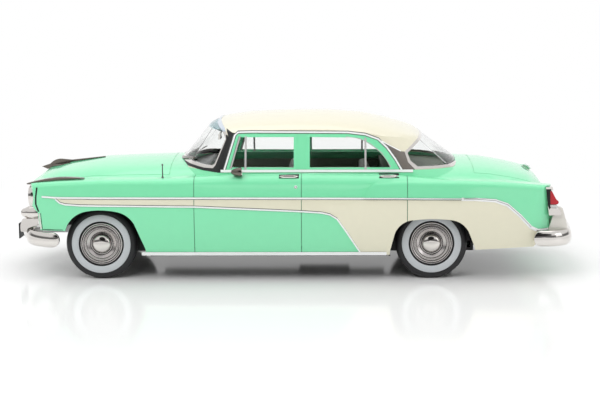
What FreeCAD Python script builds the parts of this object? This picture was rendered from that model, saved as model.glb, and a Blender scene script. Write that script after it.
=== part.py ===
import FreeCAD, Part
import os
import Sketcher
from math import atan2, copysign, cos, hypot, radians, sin, tan

V = FreeCAD.Vector
doc = FreeCAD.newDocument("scale_model_saloon")

# ---------------------------------------------------------------------------
# Driving dimensions in millimetres, at 1:18. +X is the tail, -Y the left side,
# x = 0 is the middle of the wheelbase until each piece gets its placement.
# ---------------------------------------------------------------------------
SIZES = {
    "front_reach": 142.0,
    "rear_reach": 167.7,
    "wheelbase": 177.8,
    "track_front": 85.0,
    "track_rear": 84.2,
    "tyre_radius": 19.2,
    "tyre_half_width": 5.3,
    "rim_radius": 11.8,
    "dome_radius": 5.2,
    "axle_radius": 1.5,
    "axle_ends": 3.0,
    "running_clearance": 0.05,
    "wall": 1.6,
    "body_bottom": 13.6,
    "belt_height": 58.4,
    "groove_width": 0.3,
    "groove_depth": 0.45,
    "trim_proud": 0.4,
    "glass_inset": 0.5,
    "glass_thick": 0.8,
    "plate_bottom": 13.0,
    "plate_thick": 1.6,
    "well_radius": 23.0,
    "well_wall": 1.0,
    "well_inner": 33.4,
    "well_outer": 50.2,
    "screw_spacing": 96.0,
    "screw_width": 44.0,
    "screw_radius": 1.25,
    "screw_boss": 3.4,
    "screw_depth": 3.6,
    "screw_face": 12.4,
    "seat_width": 78.0,
    "steering_radius": 10.6,
    "steering_rim": 0.55,
    "lamp_y": 43.0,
    "lamp_height": 45.0,
    "lamp_seat": 6.8,
    "lens_radius": 4.3,
    "bullet_y": 34.0,
    "bullet_height": 34.4,
    "bullet_radius": 4.2,
    "iron_y": 24.0,
    "iron_width": 4.0,
    "tooth_count": 21,
    "tooth_pitch": 2.9,
    "tooth_width": 1.1,
    "tail_lamp_y": 47.0,
    "tail_lamp_width": 5.8,
    "guard_y": 44.6,
    "guard_width": 5.4,
    "licence_width": 17.0,
    "licence_height": 8.6,
    "licence_thick": 0.6,
    "antenna_x": -55.2,
    "antenna_y": 46.0,
    "antenna_length": 8.6,
    "antenna_radius": 0.35,
    "muffler_radius": 3.0,
    "muffler_length": 30.0,
    "exhaust_radius": 1.2,
    "exhaust_y": 30.0,
}
S = SIZES
sheet = doc.addObject("Spreadsheet::Sheet", "Sizes")
for row, (alias, value) in enumerate(SIZES.items(), start=1):
    sheet.set(f"A{row}", alias)
    sheet.set(f"B{row}", str(value))
    sheet.setAlias(f"B{row}", alias)
doc.recompute()

X_SHIFT = (S["rear_reach"] - S["front_reach"]) / 2
AXLE_X = S["wheelbase"] / 2
HUB_Z = S["tyre_radius"]


# ---------------------------------------------------------------------------
# Wires, prisms and lofts
# ---------------------------------------------------------------------------
def side(y):
    """Places an (x, z) pair on the upright plane at y."""
    return lambda p: V(p[0], y, p[1])


def across(x):
    """Places a (y, z) pair on the cross plane at x."""
    return lambda p: V(x, p[0], p[1])


def plan(z):
    """Places a (y, x) pair on the level plane at z."""
    return lambda p: V(p[1], p[0], z)


def edges_of(place, start, steps):
    """A line for each (u, v) step and an arc for each (mid u, mid v, u, v) step."""
    edges, here = [], start
    for step in steps:
        end = step[-2:]
        if len(step) == 2:
            edges.append(Part.makeLine(place(here), place(end)))
        else:
            edges.append(Part.Arc(place(here), place(step[:2]), place(end)).toShape())
        here = end
    return edges


def slab(place_from, reach, start, steps):
    """A closed outline carried along reach."""
    closing = [] if tuple(steps[-1][-2:]) == tuple(start) else [start]
    face = Part.Face(Part.Wire(edges_of(place_from, start, list(steps) + closing)))
    return face.extrude(reach)


def side_slab(start, steps, y_from=-70.0, y_to=70.0):
    return slab(side(y_from), V(0, y_to - y_from, 0), start, steps)


def front_slab(start, steps, x_from, x_to):
    return slab(across(x_from), V(x_to - x_from, 0, 0), start, steps)


def plan_slab(start, steps, z_from, z_to):
    return slab(plan(z_from), V(0, 0, z_to - z_from), start, steps)


def block(x_from, x_to, y_from, y_to, z_from, z_to):
    return Part.makeBox(x_to - x_from, y_to - y_from, z_to - z_from, V(x_from, y_from, z_from))


def rod(radius, begin, end):
    run = V(*end) - V(*begin)
    return Part.makeCylinder(radius, run.Length, V(*begin), run)


def flipped(step):
    return tuple(-value if index % 2 == 0 else value for index, value in enumerate(step))


def ring(place, start, steps, crest_mid, foot_mid=None):
    """A closed wire alike on both sides: out along steps, over crest_mid and back to start."""
    corners = [start] + [step[-2:] for step in steps]
    crest = corners[-1]
    over = Part.Arc(place(crest), place(crest_mid), place(flipped(crest))).toShape()
    back = []
    for step, end in zip(reversed(steps), reversed(corners[:-1])):
        back.append(flipped(step[:-2] + end))
    if foot_mid is not None:
        back.append(foot_mid + start)
    else:
        back.append(start)
    return Part.Wire(edges_of(place, start, steps) + [over] + edges_of(place, flipped(crest), back))


def arc_mid(begin, lean, end):
    """Middle point of the arc that leaves begin along lean (radians) and reaches end."""
    du, dv = end[0] - begin[0], end[1] - begin[1]
    chord, slope = hypot(du, dv), atan2(dv, du)
    rise = chord / 2 * tan((lean - slope) / 2)
    return ((begin[0] + end[0]) / 2 - rise * sin(slope), (begin[1] + end[1]) / 2 + rise * cos(slope))


def crown_step(edge, z_centre, flat_share=0.62, drop_share=0.27):
    """The side arc of a crowned panel: from its edge in to where the flatter middle arc begins."""
    reach = flat_share * edge[0]
    drop = drop_share * (z_centre - edge[1])
    radius = (reach**2 + drop**2) / (2 * drop)
    join = (reach, z_centre - drop)
    mid = arc_mid(join, -atan2(reach, radius - drop), edge)
    return mid + join


def cap(edge, crown):
    """The last step of a turned profile: a spherical cap from edge (radius, height) to the axis."""
    (r, z), top = edge, crown
    rise = top - z
    ball = (r * r + rise * rise) / (2 * rise)
    half = atan2(r, ball - rise) / 2
    return (abs(ball) * sin(abs(half)), top - ball * (1 - cos(half)), 0.0, top)


def capped_nose(edge, tip):
    """The same cap on a profile turned about the x axis: from edge (x, radius) to the tip."""
    r, z, _, top = cap((edge[1], -edge[0]), -tip)
    return (-z, r, -top, 0.0)


def joined(first, *others):
    return first.multiFuse(list(others)).removeSplitter()


def strip(points, width):
    """A side-view band of a given width along a polyline."""
    upper, lower = [], []
    for index, (x, z) in enumerate(points):
        before, after = points[max(index - 1, 0)], points[min(index + 1, len(points) - 1)]
        run = hypot(after[0] - before[0], after[1] - before[1])
        shift_x = -(after[1] - before[1]) / run * width / 2
        shift_z = (after[0] - before[0]) / run * width / 2
        upper.append((x + shift_x, z + shift_z))
        lower.append((x - shift_x, z - shift_z))
    return side_slab(upper[0], upper[1:] + lower[::-1])


# ---------------------------------------------------------------------------
# Outer form, at any inset from the painted surface (a negative one is proud)
# ---------------------------------------------------------------------------
# x, y at the sill, widest y, z of widest, shoulder y and z, ridge y and z, z at the centre
BODY_STATIONS = [
    (-131.0, 45.4, 48.2, 38.0, 47.7, 49.4, 45.6, 51.3, 51.6),
    (-123.5, 48.0, 50.8, 38.0, 50.2, 50.1, 47.4, 52.5, 52.8),
    (-112.0, 50.2, 52.8, 38.0, 52.0, 50.9, 48.7, 53.5, 53.8),
    (-88.9, 51.6, 54.2, 38.0, 53.1, 51.6, 49.7, 54.5, 54.8),
    (-52.0, 52.2, 54.9, 37.0, 53.7, 51.4, 49.9, 54.9, 55.3),
    (-20.0, 52.3, 55.0, 36.0, 53.5, 50.9, 48.8, 56.8, 57.2),
    (24.0, 52.3, 55.0, 36.0, 53.4, 50.6, 48.4, 57.4, 57.8),
    (66.0, 52.3, 55.0, 36.0, 53.8, 50.8, 48.8, 56.8, 57.2),
    (90.0, 52.2, 55.0, 36.0, 54.0, 50.4, 49.8, 54.4, 54.8),
    (128.0, 50.8, 53.4, 36.0, 52.5, 49.2, 48.8, 52.3, 52.8),
    (143.0, 49.4, 51.7, 36.0, 51.0, 48.2, 47.6, 50.7, 50.4),
    (150.0, 48.6, 50.6, 36.0, 49.9, 47.5, 46.7, 50.0, 45.6),
    (158.0, 47.6, 49.4, 36.0, 48.6, 46.6, 45.6, 49.2, 33.0),
]
# x, y of the edge, z of the edge, z at the centre
HOOD_STATIONS = [
    (-129.6, 30.0, 44.0, 49.6),
    (-127.4, 33.2, 46.4, 52.9),
    (-123.5, 35.8, 49.0, 55.6),
    (-114.0, 38.2, 51.6, 58.1),
    (-93.0, 41.0, 53.3, 61.1),
    (-70.0, 43.0, 53.8, 62.0),
    (-46.0, 45.0, 54.0, 62.6),
    (-24.0, 46.0, 54.0, 62.6),
]
DECK_STATIONS = [
    (60.0, 46.6, 54.6, 59.6),
    (84.0, 46.4, 54.4, 60.8),
    (106.0, 45.6, 53.6, 61.2),
    (120.0, 44.6, 52.6, 60.3),
    (132.0, 43.4, 51.2, 58.2),
    (141.5, 42.2, 49.4, 56.0),
    (148.5, 41.2, 45.4, 52.2),
    (152.5, 40.6, 40.4, 47.0),
    (155.6, 40.0, 35.4, 43.2),
    (157.2, 39.6, 30.4, 37.0),
]
ROOF_STATIONS = [
    (-64.0, 48.0, 69.0, 77.0),
    (-37.0, 48.0, 71.0, 78.6),
    (-32.4, 48.0, 71.8, 81.3),
    (-29.0, 48.0, 72.4, 83.2),
    (-22.0, 48.0, 73.0, 84.9),
    (-10.0, 48.0, 73.6, 86.6),
    (10.0, 48.0, 74.0, 87.5),
    (34.0, 48.0, 73.9, 87.6),
    (52.0, 48.0, 73.2, 86.1),
    (66.0, 48.0, 71.6, 83.2),
    (78.0, 48.0, 69.4, 79.5),
    (92.0, 48.0, 65.4, 74.0),
    (122.0, 48.0, 61.0, 70.0),
]
# The rear fenders' raised hips: x, y at the moulding, shoulder y and z, ridge y and z, z at the centre
HIP_STATIONS = [
    (50.0, 55.1, 54.2, 50.8, 50.8, 53.5, 53.9),
    (68.0, 55.3, 54.6, 51.2, 51.2, 54.3, 54.7),
    (100.0, 55.3, 54.5, 51.0, 51.0, 53.9, 54.3),
    (118.0, 53.5, 53.5, 50.2, 50.2, 53.2, 53.6),
    (128.0, 52.7, 53.0, 49.8, 49.9, 52.7, 53.2),
    (158.0, 48.6, 49.0, 47.0, 46.2, 49.9, 50.3),
]
HIP_INNER = 41.0
HIP_OUTLINE = ((52.4, 44.4), [(53.4, 47.4), (55.6, 51.0, 60.6, 53.2), (69.0, 55.8), (170.0, 64.0),
                              (170.0, 44.4)])
# The cabin's plan at two heights: z, front and rear x at the centre, then (y, x) for the
# front corner's start, middle and end and the rear corner's start, middle and end.
CABIN_LOW = (57.0, -52.4, 110.6, (30.0, -45.4), (41.6, -37.0), (46.8, -25.5),
             (46.8, 72.0), (43.6, 90.6), (34.0, 102.6))
CABIN_HIGH = (80.0, -33.6, 78.8, (22.0, -30.6), (33.6, -25.4), (39.8, -15.5),
              (39.8, 56.0), (36.6, 69.6), (27.0, 76.4))
# Where each corner point of the plan moves, per millimetre of inset
CABIN_INWARD = ((-0.3, 1.0), (-0.7, 0.7), (-1.0, 0.0), (-1.0, 0.0), (-0.7, -0.7), (-0.3, -1.0))

# The lower body's plan: (y, x) of the nose corner and of the tail corner
NOSE_CENTRE, TAIL_CENTRE = -128.0, 157.6
PLAN_NOSE = ((42.5, -126.4), (49.9, -124.3), (53.4, -115.0))
PLAN_TAIL = ((53.4, 137.4), (51.0, 146.4), (46.0, 151.6))
SIDE_OUTLINE = [
    (-140.0, 41.0), (-125.4, 40.2), (-122.0, 37.2), (-120.8, 27.4), (-100.0, 27.0), (-100.0, 5.0),
    (100.0, 5.0), (104.0, 16.2), (143.1, 18.0), (150.4, 26.4), (155.4, 30.0), (170.0, 30.6), (170.0, 70.0),
]
FRONT_ARCH = [
    (-107.8, 23.1), (-103.4, 33.8, -95.1, 37.9), (-86.9, 38.5, -78.8, 37.5), (-72.9, 34.6, -69.6, 30.2),
    (-64.3, 17.4), (-63.4, 0.0),
]
REAR_ARCH = [
    (66.3, 15.6), (68.5, 24.4), (71.9, 30.2, 78.9, 33.0), (88.5, 33.6, 98.2, 33.0), (105.2, 30.2, 108.7, 25.1),
    (111.8, 17.4), (112.4, 0.0),
]


def end_x(x, stations, inset):
    """x of a station, the first and the last of them drawn in by the inset."""
    return x + inset if x == stations[0][0] else x - inset if x == stations[-1][0] else x


def fender_form(inset, z_foot):
    wires = []
    for x, y_sill, y_wide, z_wide, y_sh, z_sh, y_ridge, z_ridge, z_mid in BODY_STATIONS:
        shoulder = (y_sh - inset, z_sh - 0.3 * inset)
        ridge = (y_ridge - 0.6 * inset, z_ridge - inset)
        elbow = (ridge[0] + 0.72 * (shoulder[0] - ridge[0]), shoulder[1] + 0.72 * (ridge[1] - shoulder[1]))
        steps = [(y_wide - inset, z_wide) + shoulder, elbow + ridge]
        section = across(end_x(x, BODY_STATIONS, inset))
        wires.append(ring(section, (y_sill - inset, z_foot), steps, (0.0, z_mid - inset)))
    return Part.makeLoft(wires, True, True)


def hip_form(inset):
    """The raised part of the rear fenders, from its nose in the rear door to the tail."""
    wires = []
    for x, y_low, y_sh, z_sh, y_ridge, z_ridge, z_mid in HIP_STATIONS:
        shoulder = (y_sh - inset, z_sh - 0.3 * inset)
        ridge = (y_ridge - 0.6 * inset, z_ridge - inset)
        elbow = (ridge[0] + 0.72 * (shoulder[0] - ridge[0]), shoulder[1] + 0.72 * (ridge[1] - shoulder[1]))
        steps = [shoulder, elbow + ridge]
        wires.append(ring(across(x), (y_low - inset, 44.6), steps, (0.0, z_mid - inset)))
    start, steps = HIP_OUTLINE
    middle = HIP_INNER + inset
    hips = Part.makeLoft(wires, True, True).common(side_slab(start, steps))
    return hips.cut(block(40.0, 170.0, -middle, middle, 40.0, 80.0))


def crowned_form(stations, inset, z_foot):
    wires = []
    for x, y_edge, z_edge, z_centre in stations:
        edge = (y_edge - inset, z_edge - 0.8 * inset)
        steps = [edge, crown_step(edge, z_centre - inset)]
        wires.append(ring(across(end_x(x, stations, inset)), (edge[0], z_foot), steps, (0.0, z_centre - inset)))
    return Part.makeLoft(wires, True, True)


def plan_form(inset):
    """The lower body's outline from above, carried straight up."""
    shifts = ((0.0, 1.0), (-0.7, 0.7), (-1.0, 0.0), (-1.0, 0.0), (-0.7, -0.7), (0.0, -1.0))
    points = []
    for (y, x), (dy, dx) in zip(PLAN_NOSE + PLAN_TAIL, shifts):
        points.append((y + inset * dy, x + inset * dx))
    start, nose, side_start, side_end, tail, tail_end = points
    wide = 60.0
    steps = [nose + side_start, (wide, -100.0), (wide, 120.0), side_end, tail + tail_end]
    wire = ring(plan(2.0), start, steps, (0.0, TAIL_CENTRE - inset), (0.0, NOSE_CENTRE + inset))
    return Part.Face(wire).extrude(V(0, 0, 80.0))


def side_form(inset):
    """The lower body's outline from the side: what is above its lower edge."""
    points = []
    for x, z in SIDE_OUTLINE:
        foot = inset if z < 28.0 and abs(x) < 145.0 else 0.0
        points.append((x - copysign(inset, x), z - foot))
    return side_slab((-140.0, 90.0), points + [(170.0, 90.0)])


def cabin_plan(z, inset):
    """The cabin's plan at a height, on straight lines through the two stated plans."""
    share = (z - CABIN_LOW[0]) / (CABIN_HIGH[0] - CABIN_LOW[0])

    def between(low, high):
        return low + share * (high - low)

    x_front = between(CABIN_LOW[1], CABIN_HIGH[1]) + inset
    x_rear = between(CABIN_LOW[2], CABIN_HIGH[2]) - inset
    points = []
    for low, high, (dy, dx) in zip(CABIN_LOW[3:], CABIN_HIGH[3:], CABIN_INWARD):
        points.append((between(low[0], high[0]) + inset * dy, between(low[1], high[1]) + inset * dx))
    start, nose, side_start, side_end, tail, tail_end = points
    return ring(plan(z), start, [nose + side_start, side_end, tail + tail_end], (0.0, x_rear), (0.0, x_front))


def cabin_form(inset, z_from=44.0):
    walls = Part.makeLoft([cabin_plan(z_from, inset), cabin_plan(91.0, inset)], True, True)
    return walls.common(crowned_form(ROOF_STATIONS, inset, z_from - 4.0))


def lower_form(inset, hollow=False):
    """Fenders, hood and deck together. A hollow one runs on down through the open underside."""
    deeper = 20.0 if hollow else 0.0
    fenders = fender_form(inset, S["body_bottom"] - deeper / 2).common(plan_form(inset))
    hood = crowned_form(HOOD_STATIONS, inset, 42.0 - deeper)
    deck = crowned_form(DECK_STATIONS, inset, 28.0 - deeper / 2)
    hips = hip_form(inset).common(plan_form(inset))
    return fenders.multiFuse([hips, hood, deck]).common(side_form(inset))


SKIN = lower_form(0.0)
PROUD_SKIN = lower_form(-S["trim_proud"])
CABIN = cabin_form(0.0)
CABIN_INSIDE = cabin_form(S["wall"])
PROUD_CABIN = cabin_form(-S["trim_proud"])
CAR = SKIN.fuse(CABIN)

pieces = []


def keep(item, base=(0.0, 0.0, 0.0), turn=None):
    """Takes an object as a sub-part: its label is its name, its placement sets it on the car."""
    item.Label = item.Name
    place = FreeCAD.Placement()
    place.Base = V(base[0] - X_SHIFT, base[1], base[2])
    if turn is not None:
        place.Rotation = FreeCAD.Rotation(V(*turn[0]), turn[1])
    item.Placement = place
    pieces.append(item)
    return item


def keep_shape(name, shape):
    item = doc.addObject("Part::Feature", name)
    item.Shape = shape.Solids[0] if len(shape.Solids) == 1 else Part.makeCompound(shape.Solids)
    return keep(item)


def both_sides(shape):
    return joined(shape, shape.mirror(V(0, 0, 0), V(0, 1, 0)))


# ---------------------------------------------------------------------------
# Body shell: hollow, with wheel openings, grille mouth and engraved shut lines
# ---------------------------------------------------------------------------
GROOVES = [
    [(-37.8, 5.0), (-37.8, 60.0)],
    [(19.3, 5.0), (19.3, 60.0)],
    [(75.5, 24.0), (75.5, 60.0)],
]
MOUTH = ((30.5, 29.5), [(33.5, 31.0, 33.8, 35.0), (33.0, 41.0, 29.0, 42.6), (-29.0, 42.6),
                        (-33.0, 41.0, -33.8, 35.0), (-33.5, 31.0, -30.5, 29.5)])


def pair_of_rods(radius, x_from, x_to, y, z):
    """Two rods along the car, one each side of the middle."""
    return Part.makeCompound([rod(radius, (x_from, here, z), (x_to, here, z)) for here in (-y, y)])


def arch_slab(steps, y_from, y_to):
    return side_slab((steps[0][0], 0.0), steps, y_from, y_to)


def shut_lines():
    """Thin upright blades that leave the shut lines when they cut the skin's outer part."""
    blades = [strip(points, S["groove_width"]) for points in GROOVES]
    gap = S["groove_width"]
    for x_from, x_to, y_from, y_to in ((-127.0, -52.0, 35.0, 40.5), (112.0, 152.0, 38.0, 36.5)):
        for sign in (-1, 1):
            start = (sign * y_from, x_from)
            steps = [(sign * y_to, x_to), (sign * (y_to + gap), x_to), (sign * (y_from + gap), x_from)]
            blades.append(plan_slab(start, steps, 30.0, 75.0))
    blades.append(block(-52.0 - gap, -52.0, -40.5, 40.5, 40.0, 75.0))
    blades.append(block(112.0, 112.0 + gap, -38.0, 38.0, 40.0, 75.0))
    return Part.makeCompound(blades)


hollow = lower_form(S["wall"], True).fuse(cabin_form(S["wall"], 30.0))
shell = SKIN.cut(hollow)
for steps in (FRONT_ARCH, REAR_ARCH):
    for y_from in (-70.0, 30.0):
        shell = shell.cut(arch_slab(steps, y_from, y_from + 40.0))
shell = shell.cut(front_slab(*MOUTH, -140.0, -115.0))
LAMP_SEATS = pair_of_rods(S["lamp_seat"], -140.0, -119.1, S["lamp_y"], S["lamp_height"])
shell = shell.cut(LAMP_SEATS)
shell = shell.cut(shut_lines().cut(lower_form(S["groove_depth"])))
bullet_seats = pair_of_rods(S["bullet_radius"] + 0.05, -140.0, -121.9, S["bullet_y"], S["bullet_height"])
slot = S["iron_width"] / 2 + 0.2
iron_slots = [block(140.0, 152.0, y - slot, y + slot, 19.8, 23.2) for y in (-S["iron_y"], S["iron_y"])]
shell = shell.cut(bullet_seats).cut(Part.makeCompound(iron_slots))
shell = max(shell.Solids, key=lambda solid: solid.Volume)
keep_shape("body_shell", shell)

# ---------------------------------------------------------------------------
# Roof with its pillars: the cabin's walls with every window cut through
# ---------------------------------------------------------------------------
SIDE_WINDOWS = {
    "front": ((-18.0, 60.4), [(-13.4, 76.1), (15.1, 76.1), (15.1, 60.2)]),
    "rear": ((23.7, 60.2), [(23.7, 76.1), (42.6, 75.8), (50.4, 74.9, 56.0, 72.0), (61.8, 67.4, 66.6, 60.2)]),
}
SIDE_FRAMES = {
    "front": ((-19.6, 59.2), [(-14.8, 77.7), (17.2, 77.7), (17.2, 59.2)]),
    "rear": ((21.8, 59.2), [(21.8, 77.7), (43.0, 77.4), (51.6, 76.3, 57.6, 73.2), (64.0, 68.2, 69.4, 59.2)]),
}
VENT_BARS = ((-10.7, 60.0, 76.4), (53.5, 60.0, 73.8))
WINDSHIELD = ((-62.0, 63.6), [(-48.0, 63.6), (-38.0, 62.2), (-32.0, 61.3), (-28.6, 61.2), (-27.2, 62.4),
                              (-21.7, 75.2), (-23.6, 79.4), (-27.4, 82.4), (-27.0, 86.0), (-62.0, 86.0)])
WINDSHIELD_FRAME = ((-64.0, 60.4), [(-49.0, 60.4), (-40.2, 59.7), (-34.3, 58.7), (-25.6, 57.8), (-25.2, 59.4),
                                    (-20.1, 76.2), (-22.4, 80.6), (-25.9, 83.6), (-25.5, 88.0), (-64.0, 88.0)])
BACKLIGHT = ((81.4, 60.4), [(77.6, 63.4), (76.0, 67.6), (80.6, 71.4), (86.4, 75.6), (125.0, 75.6),
                            (125.0, 60.4)])
BACKLIGHT_FRAME = ((79.8, 59.2), [(76.2, 62.8), (74.4, 68.2), (79.8, 72.7), (85.6, 77.0), (127.0, 77.0),
                                  (127.0, 59.2)])


def band(outer, inner):
    """What lies between two nested solids."""
    return outer.cut(inner)


def solids_of(shapes):
    """One shape of all the separate solids in the shapes."""
    return Part.makeCompound([solid for shape in shapes for solid in shape.Solids])


roof = band(CABIN, CABIN_INSIDE).cut(SKIN)
roof = roof.cut(hollow.common(block(-140.0, 170.0, -60.0, 60.0, 0.0, S["belt_height"] - 1.0)))
for outline in list(SIDE_FRAMES.values()) + [WINDSHIELD_FRAME, BACKLIGHT_FRAME]:
    roof = roof.cut(side_slab(*outline))
roof = roof.common(block(-140.0, 170.0, -60.0, 60.0, S["belt_height"] - 5.0, 95.0))
keep_shape("roof_shell", roof)

frame_band = band(cabin_form(-0.25), CABIN_INSIDE).cut(SKIN)
glass_band = band(cabin_form(S["glass_inset"]), cabin_form(S["glass_inset"] + S["glass_thick"])).cut(SKIN)
bars = []
for x, z_low, z_high in VENT_BARS:
    bars.append(side_slab((x - 0.5, z_low), [(x - 0.5, z_high), (x + 0.5, z_high), (x + 0.5, z_low)]))
panes = [side_slab(*SIDE_WINDOWS[place]) for place in SIDE_FRAMES]
surrounds = []
for (place, outline), pane, bar in zip(SIDE_FRAMES.items(), panes, bars):
    surrounds.append(joined(side_slab(*outline).cut(pane), bar))
for hand, y_from in (("left", -60.0), ("right", 0.0)):
    half = block(-140.0, 170.0, y_from, y_from + 60.0, 0.0, 95.0)
    keep_shape(f"window_frames_{hand}", solids_of(ring.common(frame_band).common(half) for ring in surrounds))
    glazed = [pane.common(glass_band).common(half).cut(bar) for pane, bar in zip(panes, bars)]
    keep_shape(f"side_glass_{hand}", solids_of(glazed))
for name, outline, pane in (
    ("windshield", WINDSHIELD_FRAME, WINDSHIELD),
    ("backlight", BACKLIGHT_FRAME, BACKLIGHT),
):
    keep_shape(f"{name}_frame", side_slab(*outline).cut(side_slab(*pane)).common(frame_band))
    keep_shape(f"{name}_glass", side_slab(*pane).common(glass_band))

# ---------------------------------------------------------------------------
# Bright strips laid on the body: (x, z) runs in side view
# ---------------------------------------------------------------------------
UPPER_LINE = [(-119.5, 45.5), (-109.2, 45.1), (-34.5, 45.0), (71.6, 44.6), (112.0, 44.2), (122.0, 43.6),
              (128.5, 41.4), (135.4, 35.4), (141.6, 28.8), (144.6, 27.3), (151.0, 27.2)]
LOWER_LINE = [(-111.9, 44.3), (-109.6, 42.3), (-106.6, 41.5), (-98.6, 41.0), (-37.9, 40.4), (19.9, 37.8),
              (30.0, 37.1), (34.4, 36.1), (38.2, 33.8), (42.6, 27.6), (50.4, 15.6)]
SILL_LINE = [(-66.4, 14.7), (64.6, 14.7)]
BELT_LINE = [(-24.0, 58.5), (78.8, 58.4)]
DRIP_LINE = [(-22.0, 59.2), (-16.5, 77.2), (-14.8, 78.7), (-8.0, 78.9), (44.0, 78.5), (53.4, 77.4),
             (60.2, 75.0), (65.0, 70.6), (69.4, 64.6), (72.8, 58.9)]
skin_band = band(PROUD_SKIN, SKIN).cut(block(-200.0, 200.0, -46.0, 46.0, 0.0, 80.0))
cabin_band = band(PROUD_CABIN, CABIN).cut(SKIN).cut(block(-200.0, 200.0, -30.0, 30.0, 0.0, 90.0))
sill_strip = strip(SILL_LINE, 1.9).common(skin_band)
drip_strip = strip(DRIP_LINE, 0.9).common(cabin_band)
keep_shape("sill_mouldings", sill_strip)
keep_shape("upper_mouldings", strip(UPPER_LINE, 0.9).common(skin_band))
keep_shape("lower_mouldings", strip(LOWER_LINE, 0.8).common(skin_band).cut(sill_strip))
keep_shape("drip_mouldings", drip_strip)
keep_shape("belt_mouldings", strip(BELT_LINE, 1.4).common(cabin_band).cut(drip_strip))


# ---------------------------------------------------------------------------
# Grille: upright pointed teeth between a curved rim and its back
# ---------------------------------------------------------------------------
MOUTH_INSIDE = ((28.5, 31.2), [(31.8, 32.0, 32.2, 35.0), (31.4, 39.8, 28.0, 41.2), (-28.0, 41.2),
                               (-31.4, 39.8, -32.2, 35.0), (-31.8, 32.0, -28.5, 31.2)])
GRILLE_BACK = -119.6


def face_curve(y):
    """x of the nose's curved front at y."""
    run = PLAN_NOSE[0][1] - NOSE_CENTRE
    return NOSE_CENTRE + run * (y / PLAN_NOSE[0][0]) ** 2


def bowed_slab(half_width, behind, x_back, z_from, z_to):
    """A slab whose front follows the nose's curve, a little behind it, and whose back is flat."""
    end = face_curve(half_width) + behind
    steps = [(0.0, face_curve(0.0) + behind, half_width, end), (half_width, x_back), (-half_width, x_back)]
    return plan_slab((-half_width, end), steps, z_from, z_to)


def tooth(y):
    """One pointed tooth, its tip on the nose's curve."""
    tip, half = face_curve(y) + 0.4, S["tooth_width"] / 2
    shoulder, root = tip + 1.6, tip + 5.0
    steps = [(y - half, shoulder), (y - 0.25, tip), (y + 0.25, tip), (y + half, shoulder), (y + half, root)]
    return plan_slab((y - half, root), steps, 30.2, 42.0)


def grille():
    middle = (S["tooth_count"] - 1) / 2
    teeth = [tooth((index - middle) * S["tooth_pitch"]) for index in range(S["tooth_count"])]
    mouth = front_slab(*MOUTH, -135.0, -118.0)
    rim = mouth.cut(front_slab(*MOUTH_INSIDE, -136.0, -117.0))
    rim = rim.common(bowed_slab(36.0, 0.2, GRILLE_BACK, 25.0, 46.0))
    back = mouth.common(block(-123.2, -122.0, -36.0, 36.0, 25.0, 46.0))
    cross = bowed_slab(34.0, 1.2, -122.4, 35.2, 36.8).common(mouth)
    bars = joined(*teeth).common(mouth)
    return joined(rim, back, bars, cross).common(block(-135.0, GRILLE_BACK, -40.0, 40.0, 28.0, 44.0))


# ---------------------------------------------------------------------------
# Turned pieces, their profiles' named radii bound to the sheet
# ---------------------------------------------------------------------------
def number(entry):
    """A profile entry's number. A name stands for its size on the sheet, taken downward after a minus."""
    if isinstance(entry, str):
        return -S[entry[1:]] if entry.startswith("-") else S[entry]
    return entry


def end_at(sketch, edge, corner):
    """Which end of a sketch edge lies at the corner: 1 is its start and 2 its end."""
    return min((1, 2), key=lambda end: (sketch.getPoint(edge, end) - corner).Length)


def bind_corner(sketch, edge, end, entries):
    """Ties a corner's named entries to the sheet by its distances from the sketch's origin."""
    for kind, entry in zip(("DistanceX", "DistanceY"), entries):
        if isinstance(entry, str):
            name = entry.lstrip("-")
            between = (edge, end, -1, 1) if entry.startswith("-") else (-1, 1, edge, end)
            sketch.addConstraint(Sketcher.Constraint(kind, *between, S[name]))
            sketch.setExpression(f"Constraints[{sketch.ConstraintCount - 1}]", f"Sizes.{name}")


def turned(name, profile, axis="V_Axis"):
    """A PartDesign revolution of a closed profile of (u, v) and (mid u, mid v, u, v) steps."""
    body = doc.addObject("PartDesign::Body", name)
    sketch = body.newObject("Sketcher::SketchObject", f"{name}_profile")
    plane = next(item for item in body.Origin.OriginFeatures if item.Role == "XY_Plane")
    sketch.AttachmentSupport = [(plane, "")]
    sketch.MapMode = "FlatFace"
    corners = [V(*map(number, step[-2:])) for step in profile]
    for begin, end, step in zip(corners, corners[1:] + corners[:1], profile[1:] + profile[:1]):
        if len(step) == 2 or step is profile[0]:
            sketch.addGeometry(Part.LineSegment(begin, end), False)
        else:
            sketch.addGeometry(Part.Arc(begin, V(*step[:2]), end), False)
    for edge, corner in enumerate(corners):
        before, end = (edge or len(corners)) - 1, end_at(sketch, edge, corner)
        joint = ("Coincident", before, end_at(sketch, before, corner), edge, end)
        sketch.addConstraint(Sketcher.Constraint(*joint))
        bind_corner(sketch, edge, end, profile[edge][-2:])
    spin = body.newObject("PartDesign::Revolution", f"{name}_turn")
    spin.Profile = sketch
    spin.ReferenceAxis = (sketch, [axis])
    spin.Angle = 360.0
    body.Tip = spin
    doc.recompute()
    return body


def turned_shape(profile):
    """A solid turned about the x axis from a closed profile of (x, radius) steps."""
    edges = edges_of(lambda p: V(p[0], 0, p[1]), profile[0], list(profile[1:]) + [profile[0]])
    return Part.Face(Part.Wire(edges)).revolve(V(), V(1, 0, 0), 360)


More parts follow.
